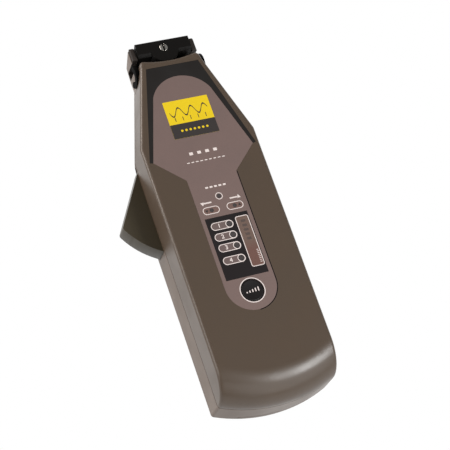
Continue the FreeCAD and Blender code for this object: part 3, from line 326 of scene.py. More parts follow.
class FinishBook:
    """Makes each material once and hands it out."""

    def __init__(self) -> None:
        """Start with no materials."""
        self._groups: dict[Pattern, EffectGroup] = {}
        self._made: dict[str, bpy.types.Material] = {}

    def material(self, finish: Finish) -> bpy.types.Material:
        """Material of a finish.

        Args:
            finish: The finish to look up.

        Returns:
            The shared material.
        """
        if finish.name not in self._made:
            self._made[finish.name] = self._build(finish)
        return self._made[finish.name]

    def _build(self, finish: Finish) -> bpy.types.Material:
        """Wire one material from its finish.

        Args:
            finish: Colours, roughness range and effect.

        Returns:
            The new material.
        """
        if finish.pattern not in self._groups:
            self._groups[finish.pattern] = EffectGroup(finish.pattern)
        made = bpy.data.materials.new(finish.name)
        made.use_nodes = True
        tree = made.node_tree
        shader = next(n for n in tree.nodes if n.type == "BSDF_PRINCIPLED")
        effect = tree.nodes.new("ShaderNodeGroup")
        effect.node_tree = self._groups[finish.pattern].tree
        values = {
            "Colour": (*finish.colour, 1.0), "Shade": (*finish.shade, 1.0), "Scale": finish.scale,
            "Rough Low": finish.rough[0], "Rough High": finish.rough[1]}
        for name, value in values.items():
            effect.inputs[name].default_value = value
        shader.inputs["Metallic"].default_value = finish.metallic
        shader.inputs["Coat Weight"].default_value = finish.coat
        shader.inputs["Specular IOR Level"].default_value = finish.specular
        tree.links.new(effect.outputs["Colour"], shader.inputs["Base Color"])
        tree.links.new(effect.outputs["Roughness"], shader.inputs["Roughness"])
        if finish.bump > 0.0:
            relief = tree.nodes.new("ShaderNodeBump")
            relief.inputs["Strength"].default_value = RELIEF
            relief.inputs["Distance"].default_value = finish.bump * MM
            tree.links.new(effect.outputs["Height"], relief.inputs["Height"])
            tree.links.new(relief.outputs["Normal"], shader.inputs["Normal"])
        return made


BOOK = FinishBook()


class Shape:
    """A piece under construction, in millimetres of the shared frame."""

    def __init__(self, name: str, *finishes: Finish, level: float = 0.0) -> None:
        """Start an empty piece.

        Args:
            name: Name of the piece.
            finishes: Its finishes, the main one first.
            level: Height at which flat faces are drawn.
        """
        self.name = name
        self.finishes = finishes
        self.level = level
        self.copied = False
        self.bm = bmesh.new()

    def disc(self, x: float, y: float, radius: float, segments: int = 40, turn: float = 0.0) -> BMFace:
        """Flat round face.

        Args:
            x, y: Centre.
            radius: Radius.
            segments: Sides; three make an arrow head that points along +X.
            turn: Turn about the centre.

        Returns:
            The face.
        """
        place = Matrix.Translation((x, y, self.level)) @ Matrix.Rotation(turn, 4, "Z")
        made = bmesh.ops.create_circle(
            self.bm, cap_ends=True, segments=segments, radius=radius, matrix=place)
        return made["verts"][0].link_faces[0]

    def pill(self, x: float, y: float, size: Pair, segments: int = 40) -> BMFace:
        """Flat face with two straight sides and two round ends.

        Args:
            x, y: Centre.
            size: Width and height.
            segments: Sides of both round ends together.

        Returns:
            The face.
        """
        width, height = size
        face = self.disc(x, y, height / 2, segments, math.pi / segments)
        for sign in SIDES:
            half = [v for v in face.verts if (v.co.x - x) * sign > 0.0]
            bmesh.ops.translate(self.bm, verts=half, vec=(sign * (width - height) / 2, 0.0, 0.0))
        return face

    def rect(self, x: float, y: float, size: Pair, corner: float = 0.0) -> BMFace:
        """Flat rectangle with rounded corners.

        Args:
            x, y: Centre.
            size: Width and height.
            corner: Corner radius.

        Returns:
            The face.
        """
        place = Matrix.Translation((x, y, self.level)) @ Matrix.Diagonal((*size, 1.0, 1.0))
        verts = bmesh.ops.create_grid(self.bm, x_segments=1, y_segments=1, size=0.5, matrix=place)["verts"]
        if corner > 0.0:
            verts = bmesh.ops.bevel(
                self.bm, geom=verts, offset=corner, offset_type="OFFSET", segments=6, profile=0.5,
                affect="VERTICES", material=-1)["verts"]
        return verts[0].link_faces[0]

    def wave(self, x: float, y: float, size: Pair, line: float, turns: float) -> list[BMFace]:
        """Flat band along a sine line.

        Args:
            x, y: Centre.
            size: Length and height of the wave.
            line: Width of the band.
            turns: Number of waves.

        Returns:
            The faces of the band.
        """
        place = Matrix.Translation((x, y, self.level)) @ Matrix.Diagonal((size[0], line, 1.0, 1.0))
        verts = bmesh.ops.create_grid(self.bm, x_segments=72, y_segments=1, size=0.5, matrix=place)["verts"]
        for vert in verts:
            angle = 2.0 * math.pi * turns * (vert.co.x - x) / size[0]
            vert.co.y += 0.5 * size[1] * math.sin(angle)
        return list(dict.fromkeys(face for vert in verts for face in vert.link_faces))

    def digits(self, text: str, x: float, y: float, size: float) -> list[BMFace]:
        """Flat plain numbers.

        Args:
            text: The digits.
            x, y: Centre.
            size: Height of the type.

        Returns:
            The faces of the digits.
        """
        curve = bpy.data.curves.new("digits", "FONT")
        curve.body, curve.size = text, size
        curve.align_x, curve.align_y = "CENTER", "CENTER"
        curve.resolution_u, curve.offset = 4, DIGIT_WEIGHT
        holder = bpy.data.objects.new("digits", curve)
        bpy.context.scene.collection.objects.link(holder)
        bpy.context.view_layer.update()
        count = len(self.bm.verts)
        self.bm.from_mesh(holder.evaluated_get(bpy.context.evaluated_depsgraph_get()).to_mesh())
        bpy.data.objects.remove(holder)
        bpy.data.curves.remove(curve)
        self.bm.verts.ensure_lookup_table()
        verts = self.bm.verts[count:]
        bmesh.ops.translate(self.bm, verts=verts, vec=(x, y, self.level))
        return list(dict.fromkeys(face for vert in verts for face in vert.link_faces))

    def rim(self, face: BMFace, line: float) -> list[BMFace]:
        """Keep only the rim of a flat face.

        Args:
            face: Face to hollow out.
            line: Width of the rim.

        Returns:
            The rim's faces.
        """
        ring = bmesh.ops.inset_region(
            self.bm, faces=[face], thickness=line, use_even_offset=True, use_boundary=True)["faces"]
        bmesh.ops.delete(self.bm, geom=[face], context="FACES_ONLY")
        return ring

    def _index(self, finish: Finish | None) -> int:
        """Place of a finish among the piece's own, where none means the first."""
        return self.finishes.index(finish) if finish else 0

    def thicken(self, faces: Iterable[BMFace], height: float, finish: Finish | None = None) -> list[BMVert]:
        """Raise flat faces into a closed layer.

        Args:
            faces: Faces to raise.
            height: Thickness of the layer.
            finish: Which of the piece's finishes it takes, if not the first.

        Returns:
            The raised vertices.
        """
        base, index = list(faces), self._index(finish)
        for face in base:
            face.material_index = index
        made = bmesh.ops.extrude_face_region(self.bm, geom=base)["geom"]
        verts = [g for g in made if isinstance(g, BMVert)]
        bmesh.ops.translate(self.bm, verts=verts, vec=(0.0, 0.0, height))
        for vert in verts:
            for face in vert.link_faces:
                face.material_index = index
        return verts

    def lathe(self, x: float, y: float, profile: Sequence[Pair], segments: int,
              finish: Finish | None = None) -> None:
        """Turn a profile about an upright axis.

        Args:
            x, y: Axis.
            profile: Radius and height of each point.
            segments: Steps of the full turn.
            finish: Which of the piece's finishes it takes, if not the first.
        """
        verts = [self.bm.verts.new((x + radius, y, z)) for radius, z in profile]
        edges = [self.bm.edges.new(pair) for pair in zip(verts, verts[1:])]
        before = set(self.bm.faces)
        bmesh.ops.spin(
            self.bm, geom=verts + edges, cent=(x, y, 0.0), axis=(0.0, 0.0, 1.0), angle=2.0 * math.pi,
            steps=segments, use_merge=True)
        for face in set(self.bm.faces) - before:
            face.material_index = self._index(finish)

    def round_off(self, edges: Iterable[BMEdge], width: float, segments: int = 3) -> None:
        """Round edges of the piece.

        Args:
            edges: Edges to round.
            width: Width of the rounding.
            segments: Steps across it.
        """
        bmesh.ops.bevel(
            self.bm, geom=list(edges), offset=width, segments=segments, profile=0.5,
            affect="EDGES", material=-1)

    def take(self, node: str) -> None:
        """Start from a merged copy of a CAD node's mesh.

        Args:
            node: CAD node to copy.
        """
        self.copied = True
        self.bm.from_mesh(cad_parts[node].data)
        bmesh.ops.scale(self.bm, verts=self.bm.verts, vec=(1.0 / MM, 1.0 / MM, 1.0 / MM))
        bmesh.ops.remove_doubles(self.bm, verts=self.bm.verts, dist=SEAM)

    def close_bore(self, x: float, y: float, reach: float) -> None:
        """Take away the wall of an upright bore and close its ends.

        Args:
            x, y: Axis.
            reach: Radius round the axis that holds the bore and nothing else.
        """
        self.bm.normal_update()
        near = {v for v in self.bm.verts if math.hypot(v.co.x - x, v.co.y - y) < reach}
        wall = [f for f in self.bm.faces if abs(f.normal.z) < STEEP and near.issuperset(f.verts)]
        bmesh.ops.delete(self.bm, geom=wall, context="FACES")
        rim = [e for e in self.bm.edges if e.is_boundary and near.issuperset(e.verts)]
        bmesh.ops.holes_fill(self.bm, edges=rim, sides=0)

    def trim(self, point: Vector, normal: Vector) -> None:
        """Cut away what lies beyond a plane and close the cut.

        Args:
            point: A point of the plane.
            normal: Points to the side that goes.
        """
        whole = [*self.bm.verts, *self.bm.edges, *self.bm.faces]
        cut = bmesh.ops.bisect_plane(
            self.bm, geom=whole, dist=CUT_REACH, plane_co=point, plane_no=normal, clear_outer=True)
        rim = [g for g in cut["geom_cut"] if isinstance(g, BMEdge)]
        bmesh.ops.triangle_fill(self.bm, use_beauty=True, edges=rim, normal=normal)

    def make(self, body: Body, stands_for: Sequence[str] = ()) -> None:
        """Close the piece and hang it on its body.

        Args:
            body: Body that it rides on.
            stands_for: CAD nodes that it replaces.
        """
        bmesh.ops.remove_doubles(self.bm, verts=self.bm.verts, dist=DOUBLE)
        bmesh.ops.recalc_face_normals(self.bm, faces=self.bm.faces)
        bmesh.ops.scale(self.bm, verts=self.bm.verts, vec=(MM, MM, MM))
        for edge in self.bm.edges:
            edge.smooth = edge.calc_face_angle(0.0) < SHARP
        for face in self.bm.faces:
            face.smooth = True
        mesh = bpy.data.meshes.new(self.name)
        self.bm.to_mesh(mesh)
        self.bm.free()
        for finish in self.finishes:
            mesh.materials.append(BOOK.material(finish))
        made = bpy.data.objects.new(self.name, mesh)
        bpy.context.scene.collection.objects.link(made)
        if self.copied:
            made.modifiers.new("even_shading", "WEIGHTED_NORMAL").keep_sharp = True
        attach(made, body.value)
        if stands_for:
            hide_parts(*stands_for)
        LOG.info("%s: %d faces on %s", self.name, len(mesh.polygons), body.value)


def dress(finish: Finish, *nodes: str) -> None:
    """Give CAD nodes a finish.

    Args:
        finish: Finish to use.
        nodes: CAD nodes that keep their shape.
    """
    for node in nodes:
        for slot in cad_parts[node].material_slots:
            slot.material = BOOK.material(finish)
        LOG.info("%s: dressed as %s", node, finish.name)


def soften(width: float, *nodes: str) -> None:
    """Round the sharp edges of CAD nodes.

    Args:
        width: Width of the rounding in millimetres.
        nodes: CAD nodes that keep their shape.
    """
    for node in nodes:
        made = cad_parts[node]
        weld = made.modifiers.new("joined_faces", "WELD")
        weld.merge_threshold = SEAM * MM
        rounding = made.modifiers.new("rounded_edges", "BEVEL")
        rounding.width = width * MM
        rounding.segments = 3
        rounding.limit_method = "ANGLE"
        rounding.angle_limit = SHARP
        rounding.profile = 0.5
        rounding.harden_normals = True
        LOG.info("%s: edges rounded by %.2f mm", node, width)


def box_of(node: str) -> tuple[Vector, Vector]:
    """Lowest and highest corner of a CAD node in millimetres."""
    low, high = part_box(node)
    return low / MM, high / MM


def centre_of(node: str) -> Pair:
    """Middle of a CAD node seen from the front, in millimetres."""
    low, high = box_of(node)
    return 0.5 * (low.x + high.x), 0.5 * (low.y + high.y)


def top_of(node: str) -> float:
    """Height of a CAD node's top in millimetres."""
    return box_of(node)[1].z


def spaced(count: int, pitch: float, centre: float = 0.0) -> list[float]:
    """Places of evenly spaced marks about a centre."""
    return [centre + (i - 0.5 * (count - 1)) * pitch for i in range(count)]


def inside(size: Pair) -> Pair:
    """Size of what lies within an outline."""
    return size[0] - 2 * OUTLINE, size[1] - 2 * OUTLINE


def quarter(across: float, up: float, steps: int) -> list[Pair]:
    """Points of a quarter ellipse from its side to its top."""
    angles = [0.5 * math.pi * i / steps for i in range(steps + 1)]
    return [(across * math.cos(angle), up * math.sin(angle)) for angle in angles]


def lens_rows() -> list[float]:
    """Middles along Y of the four signal lenses, from the highest to the lowest.

    Returns:
        The middles in millimetres.
    """
    heights = sorted((v.co.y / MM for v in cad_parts["signal_lenses"].data.vertices), reverse=True)
    rows = [[heights[0]]]
    for y in heights[1:]:
        if rows[-1][-1] - y > LENS_GAP:
            rows.append([])
        rows[-1].append(y)
    return [0.5 * (row[0] + row[-1]) for row in rows]


@dataclass
class CaseShells:
    """Front shell of the case and what closes it."""

    top_raise: float = 1.2
    top_span: float = 2.1
    top_dip: float = 1.63
    top_half: float = 14.1

    def build(self) -> None:
        """Build the front shell and dress the door and the screws."""
        self._raised_top()
        dress(REAR_PLASTIC, "battery_door")
        dress(STEEL, "case_screws", "board_screws")

    def _raised_top(self) -> None:
        """Copy of the front shell whose curved top edge reaches further to the head."""
        shape = Shape("front_shell_raised_top", CASE_PLASTIC)
        shape.take("front_shell")
        end = box_of("front_shell")[1].y
        for vert in shape.bm.verts:
            edge = end - self.top_dip * (1.0 - (vert.co.x / self.top_half) ** 2)
            share = min(1.0, 1.0 + (vert.co.y - edge) / self.top_span)
            vert.co.y += max(0.0, share) * self.top_raise
        shape.make(Body.CASE, ["front_shell"])


@dataclass
class ControlPanel:
    """Panel film, border and the prints on them."""

    edge_x: float = 13.0
    edge_top: float = 19.6
    edge_low: float = -38.5
    gap_under: float = 0.05
    gap_width: float = 0.46
    gap_turn: float = math.radians(88.0)
    lamp_ring: float = 1.85
    lamp_y: float = 8.7
    pill_x: float = 6.2
    pill_y: float = 2.25
    pill_size: Pair = (8.6, 3.9)
    arrow: float = 0.95
    arrow_out: float = 2.35
    squares: int = 4
    square_size: Pair = (1.9, 1.52)
    square_pitch: float = 4.2
    square_y: float = 33.2
    dashes: int = 9
    dash_size: Pair = (1.5, 0.5)
    dash_pitch: float = 2.3
    dash_y: float = 28.6
    blocks: int = 5
    block_size: Pair = (1.5, 0.9)
    block_up: float = 5.4
    corner: float = 0.2
    pointer: float = 1.2
    pointer_out: float = 3.2
    pointer_up: float = 4.1
    tail_size: Pair = (4.0, 0.7)

    def build(self) -> None:
        """Dress the films, lay the painted shadow along the strip's edge and lay the prints."""
        dress(PANEL_FILM, "overlay_panel")
        dress(BAND_FILM, "border_band")
        self._edge_gap()
        self._outlines()
        self._marks()

    def _edge_gap(self) -> None:
        """Painted shadow of the gap between film and case, along the right edge of the strip only."""
        shape = Shape("panel_edge_painted_shadow", GAP_PAINTED_SHADOW)
        bm, z = shape.bm, top_of("front_shell") + INK_HALF
        start = self.edge_x - self.gap_under
        edge = bm.edges.new([bm.verts.new((x, self.edge_top, z)) for x in (start, start + self.gap_width)])
        run = bmesh.ops.extrude_edge_only(bm, edges=[edge])["geom"]
        low = [g for g in run if isinstance(g, BMVert)]
        bmesh.ops.translate(bm, verts=low, vec=(0.0, self.edge_low - self.edge_top, 0.0))
        last = [e for e in bm.edges if all(v in low for v in e.verts)]
        bmesh.ops.spin(
            bm, geom=low + last, cent=(0.0, self.edge_low, z), axis=(0.0, 0.0, -1.0), angle=self.gap_turn,
            steps=32)
        shape.thicken(bm.faces, INK_HALF)
        shape.make(Body.CASE)

    def _outlines(self) -> None:
        """White rings and pills with their darker fills."""
        level = top_of("overlay_panel") + INK_LIFT
        shape = Shape("panel_outlines", WHITE_INK, RED_INK, DARK_INK, level=level)
        shape.thicken(shape.rim(shape.disc(0.0, self.lamp_y, self.lamp_ring), OUTLINE), INK)
        for sign in SIDES:
            x, y = sign * self.pill_x, self.pill_y
            shape.thicken(shape.rim(shape.pill(x, y, self.pill_size), OUTLINE), INK)
            shape.thicken([shape.pill(x, y, inside(self.pill_size))], INK_LOW, RED_INK)
            arrow = shape.disc(x + sign * self.arrow_out, y, self.arrow, 3, OUTWARDS[sign])
            shape.thicken([arrow], INK_MID, DARK_INK)
        shape.make(Body.CASE)

    def _marks(self) -> None:
        """Arrows by the direction lamps, and rows of squares, dashes and blocks."""
        shape = Shape("panel_marks", WHITE_INK, level=top_of("overlay_panel") + INK_LIFT)
        head_x, y = self.pill_x + self.pointer_out, self.pill_y + self.pointer_up
        tail_x = head_x - 0.5 * (self.pointer + self.tail_size[0])
        for sign in SIDES:
            shape.thicken([shape.disc(sign * head_x, y, self.pointer, 3, OUTWARDS[sign])], INK)
            shape.thicken([shape.rect(sign * tail_x, y, self.tail_size)], INK)
        for x in spaced(self.squares, self.square_pitch):
            shape.thicken([shape.rect(x, self.square_y, self.square_size, self.corner)], INK)
        for x in spaced(self.dashes, self.dash_pitch):
            shape.thicken([shape.pill(x, self.dash_y, self.dash_size, segments=16)], INK)
        for x in spaced(self.blocks, self.dash_pitch):
            shape.thicken([shape.rect(x, self.lamp_y + self.block_up, self.block_size, self.corner)], INK)
        shape.make(Body.CASE)


@dataclass
class DisplayWindow:
    """Dark window with four numbered pills and the level bar."""

    pill_size: Pair = (11.5, 4.1)
    ring: float = 1.95
    type_size: float = 3.0
    type_left: float = 1.6
    bar_line: float = 0.38
    bar_corner: float = 1.1
    segments: int = 5
    segment_size: Pair = (2.3, 1.25)
    segment_corner: float = 0.25
    segment_pitch: float = 2.35
    segment_right: float = 0.2
    segment_down: float = 2.6
    ticks: int = 8
    tick_size: Pair = (1.0, 0.28)
    tick_pitch: float = 0.9
    tick_in: float = 1.1
    tick_up: float = 1.7

    def build(self) -> None:
        """Dress window and bar and lay the prints."""
        dress(WINDOW_FILM, "display_window")
        dress(BAR_PLASTIC, "bar_lens")
        self._pills()
        self._bar()

    def _pills(self) -> None:
        """Outlined pills, each with a lamp ring at its right end and a plain number."""
        level = top_of("display_window") + INK_LIFT
        shape = Shape("signal_pills", WHITE_INK, FILL_INK, DARK_INK, level=level)
        lamp_x = centre_of("signal_lenses")[0]
        x = lamp_x + 0.5 * self.pill_size[1] - 0.5 * self.pill_size[0]
        for number, y in enumerate(lens_rows(), 1):
            shape.thicken([shape.pill(x, y, inside(self.pill_size))], INK_THIN, FILL_INK)
            shape.thicken(shape.rim(shape.pill(x, y, self.pill_size), OUTLINE), INK)
            shape.thicken([shape.disc(lamp_x, y, self.ring - 0.5 * OUTLINE)], INK_LOW, DARK_INK)
            shape.thicken(shape.rim(shape.disc(lamp_x, y, self.ring), OUTLINE), INK_TALL)
            shape.thicken(shape.digits(str(number), x - self.type_left, y, self.type_size), INK)
        shape.make(Body.CASE)

    def _bar(self) -> None:
        """Outline, level segments and ticks of the bar."""
        low, high = box_of("bar_lens")
        x, y = centre_of("bar_lens")
        size = (high.x - low.x + self.bar_line, high.y - low.y + self.bar_line)
        shape = Shape("level_bar_marks", WHITE_INK, SEGMENT_INK, level=high.z + INK_LIFT)
        shape.thicken(shape.rim(shape.rect(x, y, size, self.bar_corner), self.bar_line), INK)
        for i in range(self.segments):
            row = high.y - self.segment_down - i * self.segment_pitch
            segment = shape.rect(x + self.segment_right, row, self.segment_size, self.segment_corner)
            shape.thicken([segment], INK_HALF, SEGMENT_INK)
        for i in range(self.ticks):
            row = low.y + self.tick_up + i * self.tick_pitch
            shape.thicken([shape.rect(high.x - self.tick_in, row, self.tick_size)], INK_MID)
        shape.make(Body.CASE)


@dataclass
class IndicatorLenses:
    """Domed lamp lenses that stand for the plain CAD ones."""

    radius: float = 1.1
    rise: float = 0.07
    steps: int = 6

    def build(self) -> None:
        """Turn all domes."""
        x = centre_of("signal_lenses")[0]
        self._domes("signal_lens_domes", "signal_lenses", [(x, y) for y in lens_rows()])
        low, high = box_of("direction_lenses")
        y = centre_of("direction_lenses")[1]
        sides = [(low.x + self.radius, y), (high.x - self.radius, y)]
        self._domes("direction_lens_domes", "direction_lenses", sides)
        self._domes("no_signal_lens_dome", "no_signal_lens", [centre_of("no_signal_lens")])

    def _domes(self, name: str, node: str, places: Sequence[Pair]) -> None:
        """Turn one set of domes.

        Args:
            name: Name of the piece.
            node: CAD node that it stands for.
            places: Centres.
        """
        low, high = box_of(node)
        shape = Shape(name, LENS_PLASTIC)
        profile = [(0.0, low.z), (self.radius, low.z)]
        profile += [(across, high.z + up) for across, up in quarter(self.radius, self.rise, self.steps)]
        for x, y in places:
            shape.lathe(x, y, profile, segments=32)
        shape.make(Body.CASE, [node])


@dataclass
class AdjustButton:
    """Round push button with a dished top, its ring on the panel and its marks."""

    stem: float = 2.2
    flange_out: float = 1.0
    flange_under: float = 3.1
    flange_over: float = 2.3
    edge: float = 0.35
    edge_steps: int = 4
    rim_in: float = 0.8
    rim_drop: float = 0.02
    dish_in: float = 1.3
    dish: float = 0.10
    ring: float = 6.35
    ring_line: float = 0.45
    ring_gap: float = 0.28
    bars: int = 5
    bar_pitch: float = 1.5
    bar_width: float = 0.55
    bar_corner: float = 0.1
    bar_low: float = 0.7
    bar_step: float = 0.35
    bar_drop: float = 1.0
    bar_lift: float = 0.004

    def build(self) -> None:
        """Turn the button and print its ring and marks."""
        self._cap()
        self._ring()
        self._bars()

    def _flange(self) -> float:
        """Radius of the retaining flange."""
        low, high = box_of("adjust_button")
        return 0.5 * (high.x - low.x)

    def _cap(self) -> None:
        """Button with its stem, flange and dished top."""
        low, top, flange = box_of("adjust_button")[0].z, top_of("adjust_button"), self._flange()
        under, over, radius = top - self.flange_under, top - self.flange_over, flange - self.flange_out
        profile = [(0.0, low), (self.stem, low), (self.stem, under), (flange, under), (flange, over)]
        profile.append((radius, over))
        for across, up in quarter(self.edge, self.edge, self.edge_steps):
            profile.append((radius - self.edge + across, top - self.edge + up))
        profile.append((radius - self.rim_in, top - self.rim_drop))
        profile += [(radius - self.dish_in, top - self.dish), (0.0, top - self.dish)]
        shape = Shape("adjust_button_cap", BUTTON_PLASTIC)
        shape.lathe(*centre_of("adjust_button"), profile, segments=64)
        shape.make(Body.BUTTON, ["adjust_button"])

    def _ring(self) -> None:
        """White ring with a dark inner edge on the panel round the button."""
        x, y = centre_of("adjust_button")
        shape = Shape("adjust_ring", WHITE_INK, DARK_INK, level=top_of("overlay_panel") + INK_LIFT)
        shape.thicken(shape.rim(shape.disc(x, y, self.ring, segments=72), self.ring_line), INK)
        inner = self.ring - self.ring_line
        line = inner - (self._flange() - self.flange_out) - self.ring_gap
        shape.thicken(shape.rim(shape.disc(x, y, inner, segments=72), line), INK_LOW, DARK_INK)
        shape.make(Body.CASE)

    def _bars(self) -> None:
        """Row of rising bars on the dished face."""
        x, y = centre_of("adjust_button")
        level = top_of("adjust_button") - self.dish + self.bar_lift
        shape = Shape("adjust_marks", WHITE_INK, level=level)
        for i, across in enumerate(spaced(self.bars, self.bar_pitch, x)):
            tall = self.bar_low + self.bar_step * i
            middle = y - self.bar_drop + 0.5 * tall
            shape.thicken([shape.rect(across, middle, (self.bar_width, tall), self.bar_corner)], INK)
        shape.make(Body.BUTTON)


@dataclass
class FrontLabel:
    """Two-colour label with a wave, ticks and a row of dots."""

    corner: float = 0.3
    lift: float = 0.001
    base: float = 0.08
    ink_lift: float = 0.002
    ink: float = 0.018
    band: float = 7.8
    band_ink: float = 0.009
    wave_size: Pair = (20.0, 4.6)
    wave_line: float = 0.80
    wave_turns: float = 3.0
    ticks: int = 5
    tick_size: Pair = (0.36, 2.2)
    tick_down: float = 3.9
    dots: int = 7
    dot: float = 0.62
    dot_pitch: float = 2.2
    dot_lift: float = 0.0108
    dot_ink: float = 0.0072

    def build(self) -> None:
        """Build plate and prints."""
        low, high = box_of("label_plate")
        x, y = centre_of("label_plate")
        width, height = high.x - low.x, high.y - low.y
        band_y, middle = low.y + 0.5 * self.band, low.y + self.band + 0.5 * (height - self.band)
        shape = Shape("front_label", YELLOW_INK, DARK_INK, level=low.z + self.lift)
        shape.thicken([shape.rect(x, y, (width, height), self.corner)], self.base)
        shape.level = low.z + self.base + self.ink_lift
        shape.thicken([shape.rect(x, band_y, (width, self.band), self.corner)], self.band_ink, DARK_INK)
        line = shape.wave(x, middle, self.wave_size, self.wave_line, self.wave_turns)
        shape.thicken(line, self.ink, DARK_INK)
        for across in spaced(self.ticks, self.wave_size[0] / self.ticks, x):
            tick = shape.rect(across, middle - self.tick_down, self.tick_size)
            shape.thicken([tick], self.ink, DARK_INK)
        shape.level += self.dot_lift
        for across in spaced(self.dots, self.dot_pitch, x):
            shape.thicken([shape.disc(across, band_y, self.dot, segments=24)], self.dot_ink)
        shape.make(Body.CASE, ["label_plate"])


@dataclass
class FibreHead:
    """Clamp head: block, slotted screw, jaw, pads, guides and the head end of the rear shell."""

    rounding: float = 0.35
    screw_radius: float = 2.1
    screw_height: float = 1.1
    screw_edge: float = 0.25
    slot_width: float = 0.62
    slot_depth: float = 0.70
    land_lift: float = 0.001
    bore_reach: float = 1.8
    back_z: float = 6.0
    lean_low: Pair = (93.6, 13.3)
    lean_high: Pair = (97.5, 23.7)
    block_drop: float = 0.6
    end_radius: float = 4.0
    end_steps: int = 5
    lip_gap: float = 0.4
    lip_in: float = 1.6
    lip_base: float = 23.81
    lip_rise: float = 2.5
    lip_round: float = 1.9
    lip_edge: float = 0.25
    rim_reach: float = 0.1
    notch_y: Pair = (86.7, 90.74)
    notch_z: float = 13.51
    notch_side: float = 17.25
    notch_skin: float = 0.12
    slack: float = 0.01

    def build(self) -> None:
        """Dress the head and build its ends, lips, painted notch shade and screw."""
        dress(HEAD_PLASTIC, "clamp_jaw", "jaw_slider")
        dress(GUIDE_PLASTIC, "fibre_guide_left", "fibre_guide_right")
        dress(PAD_RUBBER, "jaw_pads")
        dress(STEEL, "jaw_screws", "slider_keeper", "keeper_screws")
        dress(CHIP_PLASTIC, "photodiodes")
        soften(self.rounding, "clamp_jaw", "fibre_guide_left", "fibre_guide_right")
        block = box_of("head_block")[1]
        block_edge = (block.y, block.z - self.block_drop)
        self._rounded_end("rear_shell", REAR_PLASTIC, "rear_plastic", self.lean_low)
        self._rounded_end("head_block", HEAD_PLASTIC, "head_plastic", block_edge, bored=True)
        self._lips()
        self._screw()

    def _lean(self) -> Vector:
        """Outward direction of the leaning head end."""
        rise, run = self.lean_high[1] - self.lean_low[1], self.lean_high[0] - self.lean_low[0]
        return Vector((0.0, rise, -run)).normalized()

    def _rounded_end(self, node: str, finish: Finish, slot: str, through: Pair, bored: bool = False) -> None:
        """Copy of a CAD node whose head end leans back and is rounded into the back.

        Args:
            node: CAD node that it stands for.
            finish: Its finish.
            slot: Material slot of the record; not used.
            through: Y and z of a point on the leaning end.
            bored: Whether the screw's bore is closed, which the leaning end would open.
        """
        shape = Shape(node + "_rounded_end", finish)
        shape.take(node)
        if bored:
            shape.close_bore(*centre_of("head_screw"), self.bore_reach)
        lean, radius = self._lean(), self.end_radius
        shape.trim(Vector((0.0, *through)), lean)
        centre_z = self.back_z + radius
        centre_y = through[0] - (radius + lean.z * (centre_z - through[1])) / lean.y
        turn = math.atan2(lean.y, -lean.z)
        for i in range(self.end_steps):
            angle = turn * (i + 0.5) / self.end_steps
            normal = Vector((0.0, math.sin(angle), -math.cos(angle)))
            shape.trim(Vector((0.0, centre_y, centre_z)) + radius * normal, normal)
        shape.make(Body.CASE, [node])

    def _lips(self) -> None:
        """Dark lips on the front edges of both cheeks, with painted shade on the floor and head side of both
        fibre notches.
        """
        inner = box_of("head_block")[1].x + self.lip_gap
        outer = box_of("fibre_guide_right")[1].x - self.lip_in
        start, end = self.notch_y[1], box_of("rear_shell")[1].y
        shape = Shape("cheek_lips_and_notch_shade", DARK_LIP_AND_PAINTED_SHADE, level=self.lip_base)
        for sign in SIDES:
            x, y = sign * 0.5 * (inner + outer), 0.5 * (start + end)
            shape.thicken([shape.rect(x, y, (outer - inner, end - start))], self.lip_rise)
        shape.trim(Vector((0.0, *self.lean_high)), self._lean())
        top, edges = self.lip_base + self.lip_rise - self.slack, shape.bm.edges
        ends = [e for e in edges if all(v.co.z > top and v.co.y > self.lean_high[0] for v in e.verts)]
        shape.round_off(ends, self.lip_round, segments=6)
        high = [e for e in edges if max(v.co.z for v in e.verts) > top - self.rim_reach]
        shape.round_off([e for e in high if e.calc_face_angle(0.0) > SHARP], self.lip_edge)
        # Painted shade in the fibre notches
        self._linings(shape, inner)
        shape.make(Body.CASE)

    def _linings(self, shape: Shape, inner: float) -> None:
        """Painted shade: dark skins on the floor and the head side of both fibre notches.

        Args:
            shape: Piece that they belong to.
            inner: Inner side of the cheeks.
        """
        width, skin = self.notch_side - inner, self.notch_skin
        start, stop = self.notch_y
        wall = self.lip_base + self.lip_rise - self.lip_edge - self.notch_z
        length = stop - skin - start - self.slack
        shape.level = self.notch_z
        for sign in SIDES:
            x = sign * 0.5 * (inner + self.notch_side)
            shape.thicken([shape.rect(x, stop - 0.5 * skin, (width, skin))], wall)
            shape.thicken([shape.rect(x, start + 0.5 * length, (width, length))], skin)

    def _screw(self) -> None:
        """Head of the slotted screw, with two lands beside the slot and painted shade on the slot's floor.
        """
        x, y = centre_of("head_screw")
        top, radius = top_of("head_screw"), self.screw_radius
        base, seat = top - self.slot_depth, top - self.screw_height
        shape = Shape("head_screw_slotted", NICKEL, SLOT_PAINTED_SHADE, level=base + self.land_lift)
        shape.lathe(x, y, [(0.0, seat), (radius, seat), (radius, base)], segments=64)
        # The slot's floor takes the painted shade
        shape.lathe(x, y, [(radius, base), (0.0, base)], segments=64, finish=SLOT_PAINTED_SHADE)
        for sign in SIDES:
            face = shape.disc(x, y, radius, segments=64)
            cut = bmesh.ops.bisect_plane(
                shape.bm, geom=[face, *face.edges, *face.verts], plane_no=(sign, 0.0, 0.0),
                plane_co=(x + sign * self.slot_width / 2, y, base), clear_inner=True)["geom"]
            raised = set(shape.thicken([g for g in cut if isinstance(g, BMFace)], self.slot_depth))
            shape.round_off([e for e in shape.bm.edges if raised.issuperset(e.verts)], self.screw_edge)
        shape.make(Body.CASE, ["head_screw"])


@dataclass
class SqueezeTrigger:
    """Side trigger with its pins and spring."""

    rounding: float = 0.8

    def build(self) -> None:
        """Dress the trigger, its pins and spring."""
        dress(TRIGGER_PLASTIC, "trigger_lever")
        soften(self.rounding, "trigger_lever")
        dress(STEEL, "drive_pin", "pivot_pin", "pivot_clip", "return_spring")


